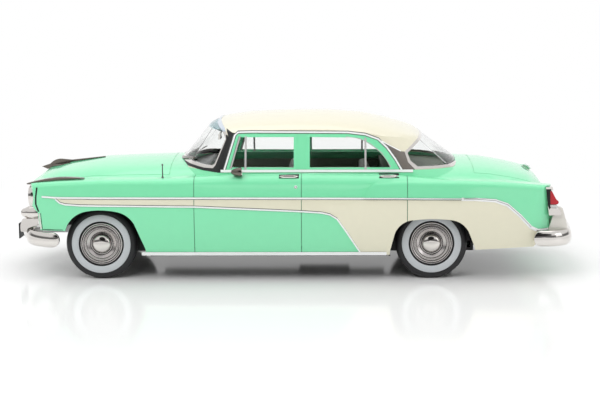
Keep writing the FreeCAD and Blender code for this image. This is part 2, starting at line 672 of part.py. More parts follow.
# ---------------------------------------------------------------------------
# Nose: lamps, bullets on their posts, brows, ornament
# ---------------------------------------------------------------------------
# x forward of the seat's bottom (negative) and radius
BEZEL = [(2.0, 4.4), (-5.6, 4.9), (-6.3, 5.5), (-4.6, 6.5), (2.0, 6.7)]
LENS = [(-1.4, 0.0), (-1.4, "lens_radius"), (-4.6, "lens_radius"), capped_nose((-4.6, S["lens_radius"]), -6.2)]
BULLET = [(4.0, 0.0), (4.0, S["bullet_radius"]), (-1.0, S["bullet_radius"]), (-4.4, 3.6), (-6.8, 2.4),
          capped_nose((-6.8, 2.4), -8.8)]
POST = ((-134.4, 24.2), [(-134.6, 28.2, -133.2, 31.4), (-124.4, 31.4), (-125.4, 27.6), (-129.0, 24.2)])
BROW = ((-128.8, 51.9), [(-127.9, 50.6), (-121.0, 51.4), (-104.0, 52.8), (-97.8, 53.6), (-97.8, 54.6),
                         (-112.0, 55.0, -128.8, 51.9)])
SPEAR = ((-129.3, 55.8), [(-126.0, 54.4), (-92.4, 59.4), (-93.0, 61.6), (-112.0, 59.6), (-117.4, 60.1),
                          (-121.6, 59.5, -124.4, 57.4)])
WING_PLAN = ((0.0, -124.5), [(6.7, -117.0), (6.9, -111.4), (0.0, -114.6)])
WING_SIDE = ((-126.0, 55.6), [(-126.0, 56.6), (-108.0, 59.2), (-108.0, 58.2)])

bullets = {}
for hand, sign in (("left", -1), ("right", 1)):
    lamp = (-121.2, sign * S["lamp_y"], S["lamp_height"])
    keep(turned(f"headlamp_bezel_{hand}", BEZEL, axis="H_Axis"), lamp)
    keep(turned(f"headlamp_lens_{hand}", LENS, axis="H_Axis"), lamp)
    y = sign * S["bullet_y"]
    point = turned_shape(BULLET).translated(V(-126.0, y, S["bullet_height"]))
    bullets[hand] = joined(point, side_slab(*POST, y - 3.0, y + 3.0))
keep_shape("grille", grille().cut(bullet_seats).cut(bullets["left"]).cut(bullets["right"]))
brow = side_slab(*BROW, S["lamp_y"] - 1.4, S["lamp_y"] + 2.4).cut(SKIN).cut(LAMP_SEATS)
keep_shape("lamp_brows", both_sides(brow))
wing = plan_slab(*WING_PLAN, 50.0, 64.0).common(side_slab(*WING_SIDE))
keep_shape("hood_ornament", joined(side_slab(*SPEAR, -0.8, 0.8), both_sides(wing)).cut(CAR))


# ---------------------------------------------------------------------------
# Bumpers: round-faced blades with their irons, guards and plates
# ---------------------------------------------------------------------------
# (y, x) of where the end's bend begins, its middle and end, and of the blade's end
FRONT_BLADE = ((34.0, -132.2), (48.4, -126.0), (55.2, -115.0), (55.2, -110.2))
REAR_BLADE = ((40.0, 164.6), (50.6, 160.6), (55.2, 151.6), (55.2, 142.6))
FRONT_FACE = 2.4 - S["front_reach"]
BLADE_DEPTH = 2.7
BLADE_BULGE = 1.9
INWARD = ((-0.3, 1.0), (-0.7, 0.7), (-1.0, 0.0), (-1.0, 0.0))


def blade_ring(points, centre, z):
    """The blade's plan at a height, closed straight across behind its ends."""
    (y1, x1), (ym, xm), (y2, x2), (y3, x3) = points
    steps = [(ym, xm, y2, x2), (y3, x3), (-y3, x3), (-y2, x2), (-ym, xm, -y1, x1), (0.0, centre, y1, x1)]
    return Part.Wire(edges_of(plan(z), (y1, x1), steps))


def drawn_in(points, inset, toward, end_pull):
    """The blade's plan drawn in towards the car, its ends moved along by end_pull."""
    moved = [(y + dy * inset, x + toward * dx * inset) for (y, x), (dy, dx) in zip(points, INWARD)]
    y, x = moved[-1]
    return moved[:-1] + [(y, x + toward * end_pull * inset)]


def bumper_blade(points, centre, toward, z_middle, half_height):
    """A round-faced blade bowed across the car, its ends turned back along the sides and rounded off."""
    levels = []
    for step in range(-3, 4):
        angle = radians(27.0 * step)
        inset = BLADE_BULGE * (1 - cos(angle))
        z = z_middle + half_height * sin(angle) / sin(radians(81.0))
        levels.append(blade_ring(drawn_in(points, inset, toward, -0.9), centre + toward * inset, z))
    outer = Part.makeLoft(levels, True, True)
    inner_points = drawn_in(points, BLADE_DEPTH, toward, 3.0)
    inner = blade_ring(inner_points, centre + toward * BLADE_DEPTH, z_middle - 20.0)
    end, far = points[-1][1], centre - toward * 10.0
    turn, low, high = end - toward * half_height, z_middle - half_height, z_middle + half_height
    capsule = side_slab((turn, low), [(end, z_middle, turn, high), (far, high), (far, low)])
    return outer.cut(Part.Face(inner).extrude(V(0, 0, 40.0))).common(capsule)


def iron_pair(x_from, x_to, z_from, z_to):
    """Two straps along the car that carry a bumper."""
    half = S["iron_width"] / 2
    return [block(x_from, x_to, y - half, y + half, z_from, z_to) for y in (-S["iron_y"], S["iron_y"])]


front_blade = bumper_blade(FRONT_BLADE, FRONT_FACE, 1, 22.4, 4.0)
rear_blade = bumper_blade(REAR_BLADE, S["rear_reach"], -1, 22.8, 4.2)
keep_shape("front_bumper", front_blade)
keep_shape("rear_bumper", rear_blade)
straps = iron_pair(-134.4, -104.0, 22.0, 25.0) + iron_pair(-112.0, -104.0, 25.0, 27.6)
keep_shape("front_bumper_irons", joined(*straps).cut(front_blade))
keep_shape("rear_bumper_irons", solids_of(iron_pair(130.0, 165.0, 20.0, 23.0)).cut(rear_blade))
for hand, shape in bullets.items():
    keep_shape(f"bumper_bullet_{hand}", shape.cut(front_blade).cut(SKIN.cut(bullet_seats)))


# ---------------------------------------------------------------------------
# Small pieces from bound primitives
# ---------------------------------------------------------------------------
def bound(kind, name, base=(0.0, 0.0, 0.0), turn=None, **rules):
    """A primitive whose dimensions are expressions on the sheet."""
    item = doc.addObject(kind, name)
    for key, rule in rules.items():
        item.setExpression(key.replace("_at_", "Placement.Base."), rule)
    item.Placement.Base = V(*base)
    if turn is not None:
        item.Placement.Rotation = FreeCAD.Rotation(V(*turn[0]), turn[1])
    return item


def fitted(name, items, *away):
    """The items fused, less the shapes they must leave room for."""
    whole = items[0]
    if len(items) > 1:
        whole = doc.addObject("Part::MultiFuse", f"{name}_whole")
        whole.Shapes = items
    for index, shape in enumerate(away):
        tool = doc.addObject("Part::Feature", f"{name}_room_{index}")
        tool.Shape = shape
        rest = doc.addObject("Part::Cut", f"{name}_rest_{index}")
        rest.Base, rest.Tool = whole, tool
        whole = rest
    doc.recompute()
    final = doc.addObject("Part::Compound", name)
    final.Links = [whole]
    doc.recompute()
    return final


def licence_card(name, x, z_low):
    """A blank plate across the car at x."""
    return bound("Part::Box", name, (x, -S["licence_width"] / 2, z_low), Length="Sizes.licence_thick",
                 Width="Sizes.licence_width", Height="Sizes.licence_height")


hanger = block(-140.0, -137.5, -5.0, 5.0, 20.0, 22.0)
card = bound("Part::Box", "front_plate_card", (-S["front_reach"], -S["licence_width"] / 2, 15.6),
             Length="Sizes.licence_thick", Width="Sizes.licence_width", Height="Sizes.licence_height")
tab = bound("Part::Box", "front_plate_tab", (S["licence_thick"] - S["front_reach"], -5.0, 20.0))
tab.Length, tab.Width, tab.Height = 3.9, 10.0, 2.0
keep(fitted("front_plate", [card, tab], front_blade))
keep(licence_card("rear_plate", 0.0, 0.0), (TAIL_CENTRE, -S["licence_width"] / 2, 30.2))

mast_foot = (S["antenna_x"], -S["antenna_y"], 54.0)
mast = bound("Part::Cylinder", "antenna_mast", mast_foot, Radius="Sizes.antenna_radius",
             Height="Sizes.antenna_length")
base = bound("Part::Cone", "antenna_base", (S["antenna_x"], -S["antenna_y"], 54.4),
             Radius1="Sizes.antenna_radius + 0.55", Radius2="Sizes.antenna_radius + 0.15")
base.Height = 1.2
keep(fitted("antenna", [mast, base], CAR))

# ---------------------------------------------------------------------------
# Wipers, door handles and mirror
# ---------------------------------------------------------------------------
wiper_band = band(cabin_form(-1.0), cabin_form(-0.35)).common(block(-60.0, -30.0, -40.0, 40.0, 60.0, 66.0))
arm = front_slab((8.0, 61.0), [(8.0, 62.8), (33.0, 64.6), (33.0, 63.8)], -60.0, -30.0)
keep_shape("wipers", both_sides(arm).common(wiper_band).cut(CAR))
HANDLE = ((0.0, 55.3), [(0.0, 57.0), (10.6, 57.0), (10.6, 55.3)])
handles = []
for x in (7.4, 60.6):
    handles.append(both_sides(side_slab(*HANDLE, 44.0, 52.2).translated(V(x, 0, 0)).cut(CAR)))
keep_shape("door_handles", solids_of(handles))
MIRROR_HEAD = [(0.8, 0.0), (0.8, 2.1), (0.0, 2.5), (-2.4, 2.1), (-4.6, 1.2), capped_nose((-4.6, 1.2), -5.2)]
stalk = rod(0.8, (-17.0, -47.0, 55.0), (-15.0, -51.6, 58.2))
head = turned_shape(MIRROR_HEAD).translated(V(-13.0, -52.6, 58.7))
keep_shape("door_mirror", joined(stalk, head).cut(CAR))

# ---------------------------------------------------------------------------
# Tail: lamps, guards and deck handle
# ---------------------------------------------------------------------------
HOUSING = ((151.0, 34.7), [(157.0, 34.7), (157.3, 36.4, 155.9, 38.4), (152.2, 38.6), (151.6, 39.4),
                           (151.4, 47.9), (153.0, 48.2), (152.6, 49.9), (149.0, 49.9)])
RED_LENS = ((150.4, 40.5), [(155.2, 40.5), (156.1, 41.6, 155.0, 42.8), (152.4, 47.7), (150.4, 47.7)])
CLEAR_LENS = ((150.4, 38.8), [(155.6, 38.8), (155.2, 40.2), (150.4, 40.2)])
GUARD = ((152.0, 25.6), [(162.6, 25.6), (161.4, 27.4), (158.6, 38.2), (155.6, 38.6), (155.8, 34.4),
                         (153.2, 29.0)])
HANDLE_SIDE = ((142.0, 54.0), [(143.0, 57.0), (146.0, 56.4, 148.0, 54.0), (147.2, 52.0)])
half_lamp, half_guard = S["tail_lamp_width"] / 2, S["guard_width"] / 2
for hand, sign in (("left", -1), ("right", 1)):
    y, y_guard = sign * S["tail_lamp_y"], sign * S["guard_y"]
    housing = side_slab(*HOUSING, y - half_lamp, y + half_lamp)
    lenses = [side_slab(*lens, y - half_lamp + 0.5, y + half_lamp - 0.5) for lens in (RED_LENS, CLEAR_LENS)]
    guard = side_slab(*GUARD, y_guard - half_guard, y_guard + half_guard)
    keep_shape(f"tail_lamp_{hand}", housing.cut(SKIN).cut(Part.makeCompound(lenses)))
    keep_shape(f"tail_lens_{hand}", solids_of(lens.cut(SKIN) for lens in lenses))
    keep_shape(f"rear_guard_{hand}", guard.cut(SKIN).cut(rear_blade).cut(housing))
keep_shape("deck_handle", side_slab(*HANDLE_SIDE, -2.6, 2.6).cut(CAR))

# ---------------------------------------------------------------------------
# Cabin: tub, seats, dashboard, steering wheel, inner mirror
# ---------------------------------------------------------------------------
TUB = ((-49.0, 57.0), [(-46.0, 16.4), (57.0, 16.4), (64.5, 42.0), (64.5, 55.0), (99.0, 55.0), (99.0, 57.0)])
TUB_INSIDE = ((-47.4, 60.0), [(-44.6, 17.8), (56.0, 17.8), (63.2, 42.0), (63.2, 60.0)])
FRONT_SEAT = ((-8.0, 17.9), [(-9.5, 31.5), (-7.4, 34.4, -4.0, 34.4), (10.0, 33.0), (17.8, 55.6),
                             (19.6, 57.4, 21.6, 55.6), (16.4, 33.0), (14.0, 17.9)])
REAR_SEAT = ((35.0, 17.9), [(33.5, 33.0), (35.6, 36.0, 39.0, 36.0), (49.0, 34.8), (56.0, 55.0),
                            (59.0, 57.0, 62.0, 55.0), (62.9, 44.0), (55.6, 17.9)])
DASH = ((-46.0, 44.0), [(-47.4, 57.0), (-34.0, 59.0), (-31.6, 57.6, -31.4, 55.0), (-34.6, 46.0)])
tub = side_slab(*TUB, -44.4, 44.4).cut(side_slab(*TUB_INSIDE, -43.2, 43.2))
keep_shape("interior_tub", tub.common(cabin_form(S["wall"] + 0.1, 10.0)))
half_seat = S["seat_width"] / 2
keep_shape("front_seat", side_slab(*FRONT_SEAT, -half_seat, half_seat))
keep_shape("rear_seat", side_slab(*REAR_SEAT, -half_seat, half_seat))
dash = side_slab(*DASH, -42.8, 42.8).common(cabin_form(S["wall"] + 0.3, 10.0)).cut(tub)
keep_shape("dashboard", dash)


def steering_wheel(centre, slope):
    """Rim, spoke and column, the column sloping down forward."""
    lean = V(cos(slope), 0, sin(slope))
    reach, tube = S["steering_radius"], S["steering_rim"]
    angles = [radians(60.0 * step) for step in range(7)]
    corners = [V(reach + tube * cos(angle), 0, tube * sin(angle)) for angle in angles]
    rim = Part.Face(Part.makePolygon(corners)).revolve(V(), V(0, 0, 1), 360)
    rim.Placement = FreeCAD.Placement(centre, FreeCAD.Rotation(V(0, 0, 1), lean))
    spoke = Part.makeCylinder(0.8 * tube, 2 * reach, centre - V(0, reach, 0), V(0, 1, 0))
    return joined(rim, spoke, Part.makeCylinder(1.6 * tube, 11.6, centre - lean * 11.0, lean))


keep_shape("steering_wheel", steering_wheel(V(-24.0, -20.0, 52.0), radians(28.0)).cut(dash))
glass_back = block(-28.4, -27.2, -6.0, 6.0, 71.4, 74.4)
stem = rod(0.5, (-27.8, 0.0, 74.0), (-23.4, 0.0, 84.4))
keep_shape("inner_mirror", joined(glass_back, stem).common(CABIN_INSIDE))

# ---------------------------------------------------------------------------
# Chassis: floor plate with wheel wells, underside relief and screw bosses
# ---------------------------------------------------------------------------
FRONT_PAN_LOW, REAR_PAN_LOW = 27.6, 18.4
PLATE_TOP = S["plate_bottom"] + S["plate_thick"]
INNER = S["well_inner"]
# x from and to, half width, z from and to
FLOORS = [
    (-62.0, 65.0, S["well_outer"], S["plate_bottom"], PLATE_TOP),
    (-100.0, 112.0, INNER, S["plate_bottom"], PLATE_TOP),
    (-118.0, -110.6, 44.0, FRONT_PAN_LOW, FRONT_PAN_LOW + S["plate_thick"]),
    (-111.0, -99.0, INNER, FRONT_PAN_LOW, FRONT_PAN_LOW + S["plate_thick"]),
    (-100.6, -99.0, INNER, S["plate_bottom"], FRONT_PAN_LOW + S["plate_thick"]),
    (111.0, 140.0, 47.0, REAR_PAN_LOW, REAR_PAN_LOW + S["plate_thick"]),
    (111.0, 112.6, INNER, S["plate_bottom"], REAR_PAN_LOW + S["plate_thick"]),
]
# Moulded underside relief: x from and to, y from and to, z from and to
RELIEF = [
    (-80.0, -52.0, -9.0, 9.0, 9.6, 13.4),
    (-52.5, -34.0, -6.0, 6.0, 10.4, 13.4),
    (-60.0, 62.0, -40.0, -36.5, 11.4, 13.4),
    (-60.0, 62.0, 36.5, 40.0, 11.4, 13.4),
    (116.0, 138.0, -18.0, 18.0, 15.0, 18.8),
]


def wheel_well(x, sign, z_low_end):
    """A half-round well over a wheel, its end towards the bumper stopping at z_low_end."""
    y_in, y_out = sign * INNER, sign * S["well_outer"]
    solid = rod(S["well_radius"] + S["well_wall"], (x, y_in, HUB_Z), (x, y_out, HUB_Z))
    room = rod(S["well_radius"], (x, y_in + sign * S["well_wall"], HUB_Z), (x, y_out + sign, HUB_Z))
    end = x + copysign(40.0, x)
    inner_half = block(min(x, 2 * x - end), max(x, 2 * x - end), -60.0, 60.0, S["plate_bottom"], 60.0)
    outer_half = block(min(x, end), max(x, end), -60.0, 60.0, z_low_end, 60.0)
    return solid.cut(room).common(joined(inner_half, outer_half))


def chassis_shape():
    plates = [block(x_from, x_to, -half, half, z_from, z_to) for x_from, x_to, half, z_from, z_to in FLOORS]
    wells = [wheel_well(1.6 - AXLE_X, sign, FRONT_PAN_LOW) for sign in (-1, 1)]
    wells += [wheel_well(AXLE_X, sign, REAR_PAN_LOW) for sign in (-1, 1)]
    shaft = rod(1.6, (-34.5, 0.0, 12.6), (84.0, 0.0, 12.6))
    whole = joined(*plates, *wells, shaft, *[block(*place) for place in RELIEF])
    bore = S["axle_radius"] + S["running_clearance"]
    for x in (-AXLE_X, AXLE_X):
        whole = whole.cut(rod(bore, (x, -60.0, HUB_Z), (x, 60.0, HUB_Z)))
    for x in (-S["screw_spacing"] / 2, S["screw_spacing"] / 2):
        for y in (-S["screw_width"] / 2, S["screw_width"] / 2):
            foot = V(x, y, S["screw_face"])
            whole = whole.fuse(Part.makeCylinder(S["screw_boss"], S["screw_depth"], foot))
            whole = whole.cut(Part.makeCylinder(S["screw_radius"], 20.0, V(x, y, 0.0)))
    return whole.removeSplitter().cut(shell)


chassis = chassis_shape()
keep_shape("chassis", chassis)
along = ((0, 1, 0), 90)
pipes = []
for name, x, length in (("front_pipe", -50.0, 70.0), ("rear_pipe", 46.0, 20.0)):
    pipe = bound("Part::Cylinder", name, (x, S["exhaust_y"], 11.6), along, Radius="Sizes.exhaust_radius")
    pipe.Height = length
    pipes.append(pipe)
pipes.append(bound("Part::Cylinder", "muffler", (16.0, S["exhaust_y"], 9.9), along,
                   Radius="Sizes.muffler_radius", Height="Sizes.muffler_length"))
keep(fitted("exhaust", pipes, chassis))

# ---------------------------------------------------------------------------
# Axles and wheels
# ---------------------------------------------------------------------------
# (radius, y outward from the wheel's middle)
TYRE = [("rim_radius", -4.0), (14.4, "-tyre_half_width"), (17.4, -4.9), ("tyre_radius", -3.2),
        ("tyre_radius", 3.2), (17.4, 4.9), (14.4, "tyre_half_width"), ("rim_radius", 4.0)]
WHEEL = [(0.0, 2.4), (1.55, 2.4), (1.55, -4.6), (3.8, -4.6), (4.4, -0.4), (10.8, -1.4), ("rim_radius", -3.4),
         ("rim_radius", 4.0), (10.6, 4.4), (9.6, 3.4), (8.4, 4.0), ("dome_radius", 3.2),
         cap((S["dome_radius"], 3.2), 5.4)]
for place, x, track in (("front", -AXLE_X, "track_front"), ("rear", AXLE_X, "track_rear")):
    axle = bound("Part::Cylinder", f"{place}_axle", Radius="Sizes.axle_radius",
                 Height=f"Sizes.{track} + Sizes.axle_ends")
    doc.recompute()
    keep(axle, (x, -(S[track] + S["axle_ends"]) / 2, HUB_Z), ((1, 0, 0), -90))
    for hand, sign in (("left", -1), ("right", 1)):
        hub = (x, sign * S[track] / 2, HUB_Z)
        turn = ((0, 0, 1), 180 if sign < 0 else 0)
        keep(turned(f"tyre_{place}_{hand}", TYRE), hub, turn)
        keep(turned(f"wheel_{place}_{hand}", WHEEL), hub, turn)

# ---------------------------------------------------------------------------
# Checks and files
# ---------------------------------------------------------------------------
doc.recompute()
for item in doc.Objects:
    if "Invalid" in item.State or "Error" in item.State:
        raise RuntimeError(f"{item.Name} is {item.State}")
for item in pieces:
    if item.Shape.isNull() or not item.Shape.isValid() or not item.Shape.Solids:
        raise RuntimeError(f"{item.Label} has no sound solid")
os.makedirs("parts", exist_ok=True)
for item in pieces:
    item.Shape.exportStep(f"parts/{item.Label}.step")
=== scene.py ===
from math import copysign, cos, exp, pi, radians, sin, sqrt

import bmesh
import bpy
from mathutils import Matrix, Vector
from mathutils.bvhtree import BVHTree


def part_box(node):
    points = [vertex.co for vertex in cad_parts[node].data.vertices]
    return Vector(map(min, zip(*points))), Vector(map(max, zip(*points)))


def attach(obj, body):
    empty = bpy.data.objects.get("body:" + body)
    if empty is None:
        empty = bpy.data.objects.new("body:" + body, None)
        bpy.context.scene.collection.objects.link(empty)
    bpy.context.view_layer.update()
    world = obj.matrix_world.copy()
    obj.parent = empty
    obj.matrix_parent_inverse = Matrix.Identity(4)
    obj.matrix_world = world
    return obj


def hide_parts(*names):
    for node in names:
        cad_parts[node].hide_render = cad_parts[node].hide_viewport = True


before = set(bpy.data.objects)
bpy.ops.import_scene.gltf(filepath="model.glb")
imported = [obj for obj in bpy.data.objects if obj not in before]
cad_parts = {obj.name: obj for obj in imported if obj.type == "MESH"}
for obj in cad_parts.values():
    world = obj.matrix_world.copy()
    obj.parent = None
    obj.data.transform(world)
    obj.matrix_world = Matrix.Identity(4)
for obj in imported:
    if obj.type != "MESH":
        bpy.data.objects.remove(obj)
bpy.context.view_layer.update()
MM = 0.001
# The middle of the wheelbase in the shared frame, in metres
MIDDLE = sum(corner[0] for axle in ("front_axle", "rear_axle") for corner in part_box(axle)) / 4
# Each side's name and the sign of its y
HANDS = (("left", -1), ("right", 1))
REARWARD = Vector((1, 0, 0))
UPWARD = Vector((0, 0, 1))
# A distance from the middle plane that clears both sides of the car
CLEAR = 80.0


def at(x, y, z):
    """A point in metres from millimetres measured from the middle of the wheelbase."""
    return Vector((MIDDLE + x * MM, y * MM, z * MM))


# ---------------------------------------------------------------------------
# Materials
# ---------------------------------------------------------------------------
def material(name, color, rough, metal=0.0, coat=0.0, spread=0.06, grain=900.0, bump=0.02, **sockets):
    """A surface whose colour and roughness vary with fine noise, over a faint bump."""
    mat = bpy.data.materials.new(name)
    mat.use_nodes = True
    nodes, links = mat.node_tree.nodes, mat.node_tree.links
    shader = nodes["Principled BSDF"]
    shader.inputs["Metallic"].default_value = metal
    shader.inputs["Coat Weight"].default_value = coat
    shader.inputs["Coat Roughness"].default_value = 0.04
    for key, value in sockets.items():
        shader.inputs[key.replace("_", " ")].default_value = value
    where = nodes.new("ShaderNodeTexCoord")
    noise = nodes.new("ShaderNodeTexNoise")
    noise.inputs["Scale"].default_value = grain
    noise.inputs["Detail"].default_value = 4.0
    links.new(where.outputs["Object"], noise.inputs["Vector"])
    tint = nodes.new("ShaderNodeMix")
    tint.data_type = "RGBA"
    # Inputs 6 and 7 are its two colours, and output 2 the colour between them
    tint.inputs[6].default_value = [c * (1 - spread) for c in color] + [1.0]
    tint.inputs[7].default_value = [min(1.0, c * (1 + spread)) for c in color] + [1.0]
    links.new(noise.outputs["Fac"], tint.inputs[0])
    links.new(tint.outputs[2], shader.inputs["Base Color"])
    span = nodes.new("ShaderNodeMapRange")
    span.inputs["To Min"].default_value = rough * 0.85
    span.inputs["To Max"].default_value = min(1.0, rough * 1.2)
    links.new(noise.outputs["Fac"], span.inputs["Value"])
    links.new(span.outputs["Result"], shader.inputs["Roughness"])
    relief = nodes.new("ShaderNodeBump")
    relief.inputs["Strength"].default_value = bump
    relief.inputs["Distance"].default_value = 0.0002
    links.new(noise.outputs["Fac"], relief.inputs["Height"])
    links.new(relief.outputs["Normal"], shader.inputs["Normal"])
    return mat


def car_paint(name, color, rough):
    """Smooth paint under a clear coat."""
    return material(name, color, rough, coat=0.6, spread=0.02, grain=260.0, bump=0.01)


def fluted(name, **settings):
    """Moulded lamp glass with upright flutes."""
    mat = material(name, **settings)
    nodes, links = mat.node_tree.nodes, mat.node_tree.links
    where = nodes["Texture Coordinate"]
    wave = nodes.new("ShaderNodeTexWave")
    wave.bands_direction = "Y"
    wave.inputs["Scale"].default_value = 320.0
    links.new(where.outputs["Object"], wave.inputs["Vector"])
    relief = nodes["Bump"]
    links.new(wave.outputs["Fac"], relief.inputs["Height"])
    relief.inputs["Strength"].default_value = 0.5
    return mat


def pleated_hide(name, color):
    """Grained seat vinyl: a fine cell relief over soft colour variation."""
    mat = material(name, color, 0.42, spread=0.14, grain=420.0, Sheen_Weight=0.12)
    nodes, links = mat.node_tree.nodes, mat.node_tree.links
    cells = nodes.new("ShaderNodeTexVoronoi")
    cells.inputs["Scale"].default_value = 2400.0
    links.new(nodes["Texture Coordinate"].outputs["Object"], cells.inputs["Vector"])
    relief = nodes["Bump"]
    links.new(cells.outputs["Distance"], relief.inputs["Height"])
    relief.inputs["Strength"].default_value = 0.3
    return mat


SURFACES = {
    "green": car_paint("paint_green", (0.230, 0.795, 0.445), 0.2),
    "cream": car_paint("paint_cream", (0.79, 0.76, 0.595), 0.22),
    "umber": material("paint_umber", (0.17, 0.15, 0.135), 0.3, coat=0.4, spread=0.05),
    "chrome": material("bright_plate", (0.73, 0.70, 0.67), 0.09, metal=1.0, spread=0.03),
    "ivory": car_paint("paint_ivory", (0.79, 0.755, 0.59), 0.22),
    "seam": material("shut_line", (0.11, 0.33, 0.19), 0.6),
    # Chrome darkened in its colour as a painted reflection of dark surroundings, for the ornament, brows,
    # wipers and mirror
    "dark_reflection_chrome": material("shaded_plate", (0.17, 0.15, 0.13), 0.15, metal=1.0, spread=0.08),
    "foil": material("silver_foil", (0.93, 0.94, 0.94), 0.3, metal=0.05, spread=0.03, bump=0.05),
    "trim": material("window_trim", (0.64, 0.63, 0.62), 0.25, metal=0.3, spread=0.05),
    "pearl": material("guard_plate", (0.76, 0.735, 0.68), 0.22, metal=0.25, spread=0.04),
    "haze": material("header_shade", (0.50, 0.57, 0.66), 0.15, coat=0.5),
    "satin": material("wheel_plate", (0.55, 0.52, 0.51), 0.22, metal=1.0, spread=0.06),
    "rubber": material("tyre_black", (0.018, 0.018, 0.020), 0.5, bump=0.08),
    "whitewall": material("tyre_white", (0.56, 0.59, 0.61), 0.45, spread=0.03, bump=0.04),
    "black": material("black_plastic", (0.014, 0.014, 0.015), 0.5, grain=2000.0, bump=0.1),
    # Near-black for real gaps, also laid as painted shade and shadow in recesses, behind the grille's bars
    # and under the handles
    "gap_and_shadow": material("dark_gap_and_painted_shade", (0.006, 0.006, 0.006), 0.7),
    "steel": material("axle_steel", (0.55, 0.55, 0.56), 0.3, metal=1.0),
    "brown": material("trim_olive", (0.060, 0.088, 0.050), 0.5, grain=1600.0, bump=0.2),
    "hide": pleated_hide("seat_hide", (0.078, 0.098, 0.062)),
    # Body green darkened as painted shade, for the door rails' sides seen through the glass
    "shaded_green": material("trim_green", (0.008, 0.20, 0.07), 0.4, spread=0.1),
    # Dash grey, also laid as painted shade lines beside the mouldings and on their top and bottom faces
    "grey_and_shade": material("dash_grey_and_painted_shade", (0.115, 0.115, 0.115), 0.4, spread=0.1, bump=0.1),
    "dial": material("dial_face", (0.55, 0.53, 0.46), 0.35, spread=0.1),
    "lining": material("roof_lining", (0.42, 0.42, 0.37), 0.8, grain=1800.0, bump=0.3, Sheen_Weight=0.1),
    "plate": material("plate_blank", (0.09, 0.09, 0.095), 0.45, spread=0.1),
    "glass": material("clear_glass", (0.97, 0.99, 0.98), 0.01, Transmission_Weight=1.0, IOR=1.12),
    "tint": material("shade_band_glass", (0.42, 0.58, 0.62), 0.03, Transmission_Weight=0.75, IOR=1.15),
    "lamp": fluted("lamp_glass", color=(0.95, 0.95, 0.95), rough=0.06, Transmission_Weight=0.8, IOR=1.45),
    "milk": material("reverse_glass", (0.75, 0.76, 0.74), 0.2, coat=0.4, Transmission_Weight=0.2, IOR=1.4),
    "red": fluted("red_lens", color=(0.47, 0.008, 0.018), rough=0.25, coat=0.15),
}
# The looks, each with the words that mark its nodes' names; the first match counts
NODE_LOOKS = {
    "green": ("body_shell", "window_frames"),
    "ivory": ("roof_shell",),
    "black": ("chassis",),
    "steel": ("exhaust", "_axle", "bumper_irons"),
    "brown": ("interior_tub",),
    "hide": ("_seat",),
    "grey_and_shade": ("dashboard", "steering_wheel"),
    "plate": ("_plate",),
    # These take the chrome darkened as a painted reflection
    "dark_reflection_chrome": ("hood_ornament", "lamp_brows", "door_handles", "wipers"),
    "foil": ("mouldings",),
    "trim": ("rear_guard",),
    "rubber": ("tyre",),
    "lamp": ("headlamp_lens",),
    "red": ("tail_lens",),
    "glass": ("glass",),
}


def look_of(name):
    """The look of a node: bright plate unless its name says otherwise."""
    for look, words in NODE_LOOKS.items():
        if any(word in name for word in words):
            return look
    return "chrome"


for name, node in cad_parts.items():
    node.data.materials.clear()
    node.data.materials.append(SURFACES[look_of(name)])


# ---------------------------------------------------------------------------
# Mesh tools
# ---------------------------------------------------------------------------
def placed(name, data, looks, body, *nodes):
    """The mesh or curve as a piece that rides on a body and stands for the nodes named."""
    for look in looks:
        data.materials.append(SURFACES[look])
    piece = bpy.data.objects.new(name, data)
    bpy.context.scene.collection.objects.link(piece)
    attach(piece, body)
    if nodes:
        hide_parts(*nodes)
    return piece


def crease(work, angle):
    """Shades faces smooth, with only the edges turned more than the angle left sharp."""
    work.normal_update()
    for face in work.faces:
        face.smooth = True
    for edge in work.edges:
        edge.smooth = len(edge.link_faces) == 2 and edge.calc_face_angle(pi) < radians(angle)


def welded(name):
    """A copy of the node's mesh with its seams joined."""
    seam, sliver = 2e-6, 1e-6
    work = bmesh.new()
    work.from_mesh(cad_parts[name].data)
    bmesh.ops.remove_doubles(work, verts=work.verts, dist=seam)
    bmesh.ops.dissolve_degenerate(work, edges=work.edges, dist=sliver)
    for face in work.faces:
        face.material_index = 0
    return work


def finished(work, name):
    """The work as mesh data of the name."""
    mesh = bpy.data.meshes.new(name)
    work.to_mesh(mesh)
    work.free()
    return mesh


def inside(point, outline):
    """Whether the point lies within the closed outline."""
    x, z = point
    hit = False
    for (x0, z0), (x1, z1) in zip(outline, outline[1:] + outline[:1]):
        if (z0 > z) != (z1 > z) and x < x0 + (z - z0) * (x1 - x0) / (z1 - z0):
            hit = not hit
    return hit


def bordered(points, width):
    """The outline of a band of the width along a side-view line."""
    upper, lower = [], []
    for index, (x, z) in enumerate(points):
        before, after = points[max(index - 1, 0)], points[min(index + 1, len(points) - 1)]
        run = Vector((after[0] - before[0], after[1] - before[1])).normalized() * width / 2
        upper.append((x - run.y, z + run.x))
        lower.append((x + run.y, z - run.x))
    return upper + lower[::-1]


def side_zone(work, outline, index, reach):
    """Cuts faces further out than the reach along the side-view outline, then paints those inside it."""
    outline = [(x + MIDDLE / MM, z) for x, z in outline]
    for (x0, z0), (x1, z1) in zip(outline, outline[1:] + outline[:1]):
        near = []
        for face in work.faces:
            xs = [v.co.x / MM for v in face.verts]
            zs = [v.co.z / MM for v in face.verts]
            if abs(face.calc_center_median().y) / MM < reach:
                continue
            if max(xs) < min(x0, x1) or min(xs) > max(x0, x1):
                continue
            if max(zs) < min(z0, z1) or min(zs) > max(z0, z1):
                continue
            near.append(face)
        cut = near + list({e for f in near for e in f.edges}) + list({v for f in near for v in f.verts})
        normal = Vector((z1 - z0, 0, x0 - x1)).normalized()
        bmesh.ops.bisect_plane(work, geom=cut, dist=1e-7, plane_co=(x0 * MM, 0, z0 * MM), plane_no=normal)
    for face in work.faces:
        middle = face.calc_center_median() / MM
        if abs(middle.y) > reach and inside((middle.x, middle.z), outline):
            face.material_index = index


def eased(piece, width, segments=3):
    """Rounds the piece's edges by the width in millimetres."""
    bevel = piece.modifiers.new("eased", "BEVEL")
    bevel.width = width * MM
    bevel.segments = segments
    return bevel


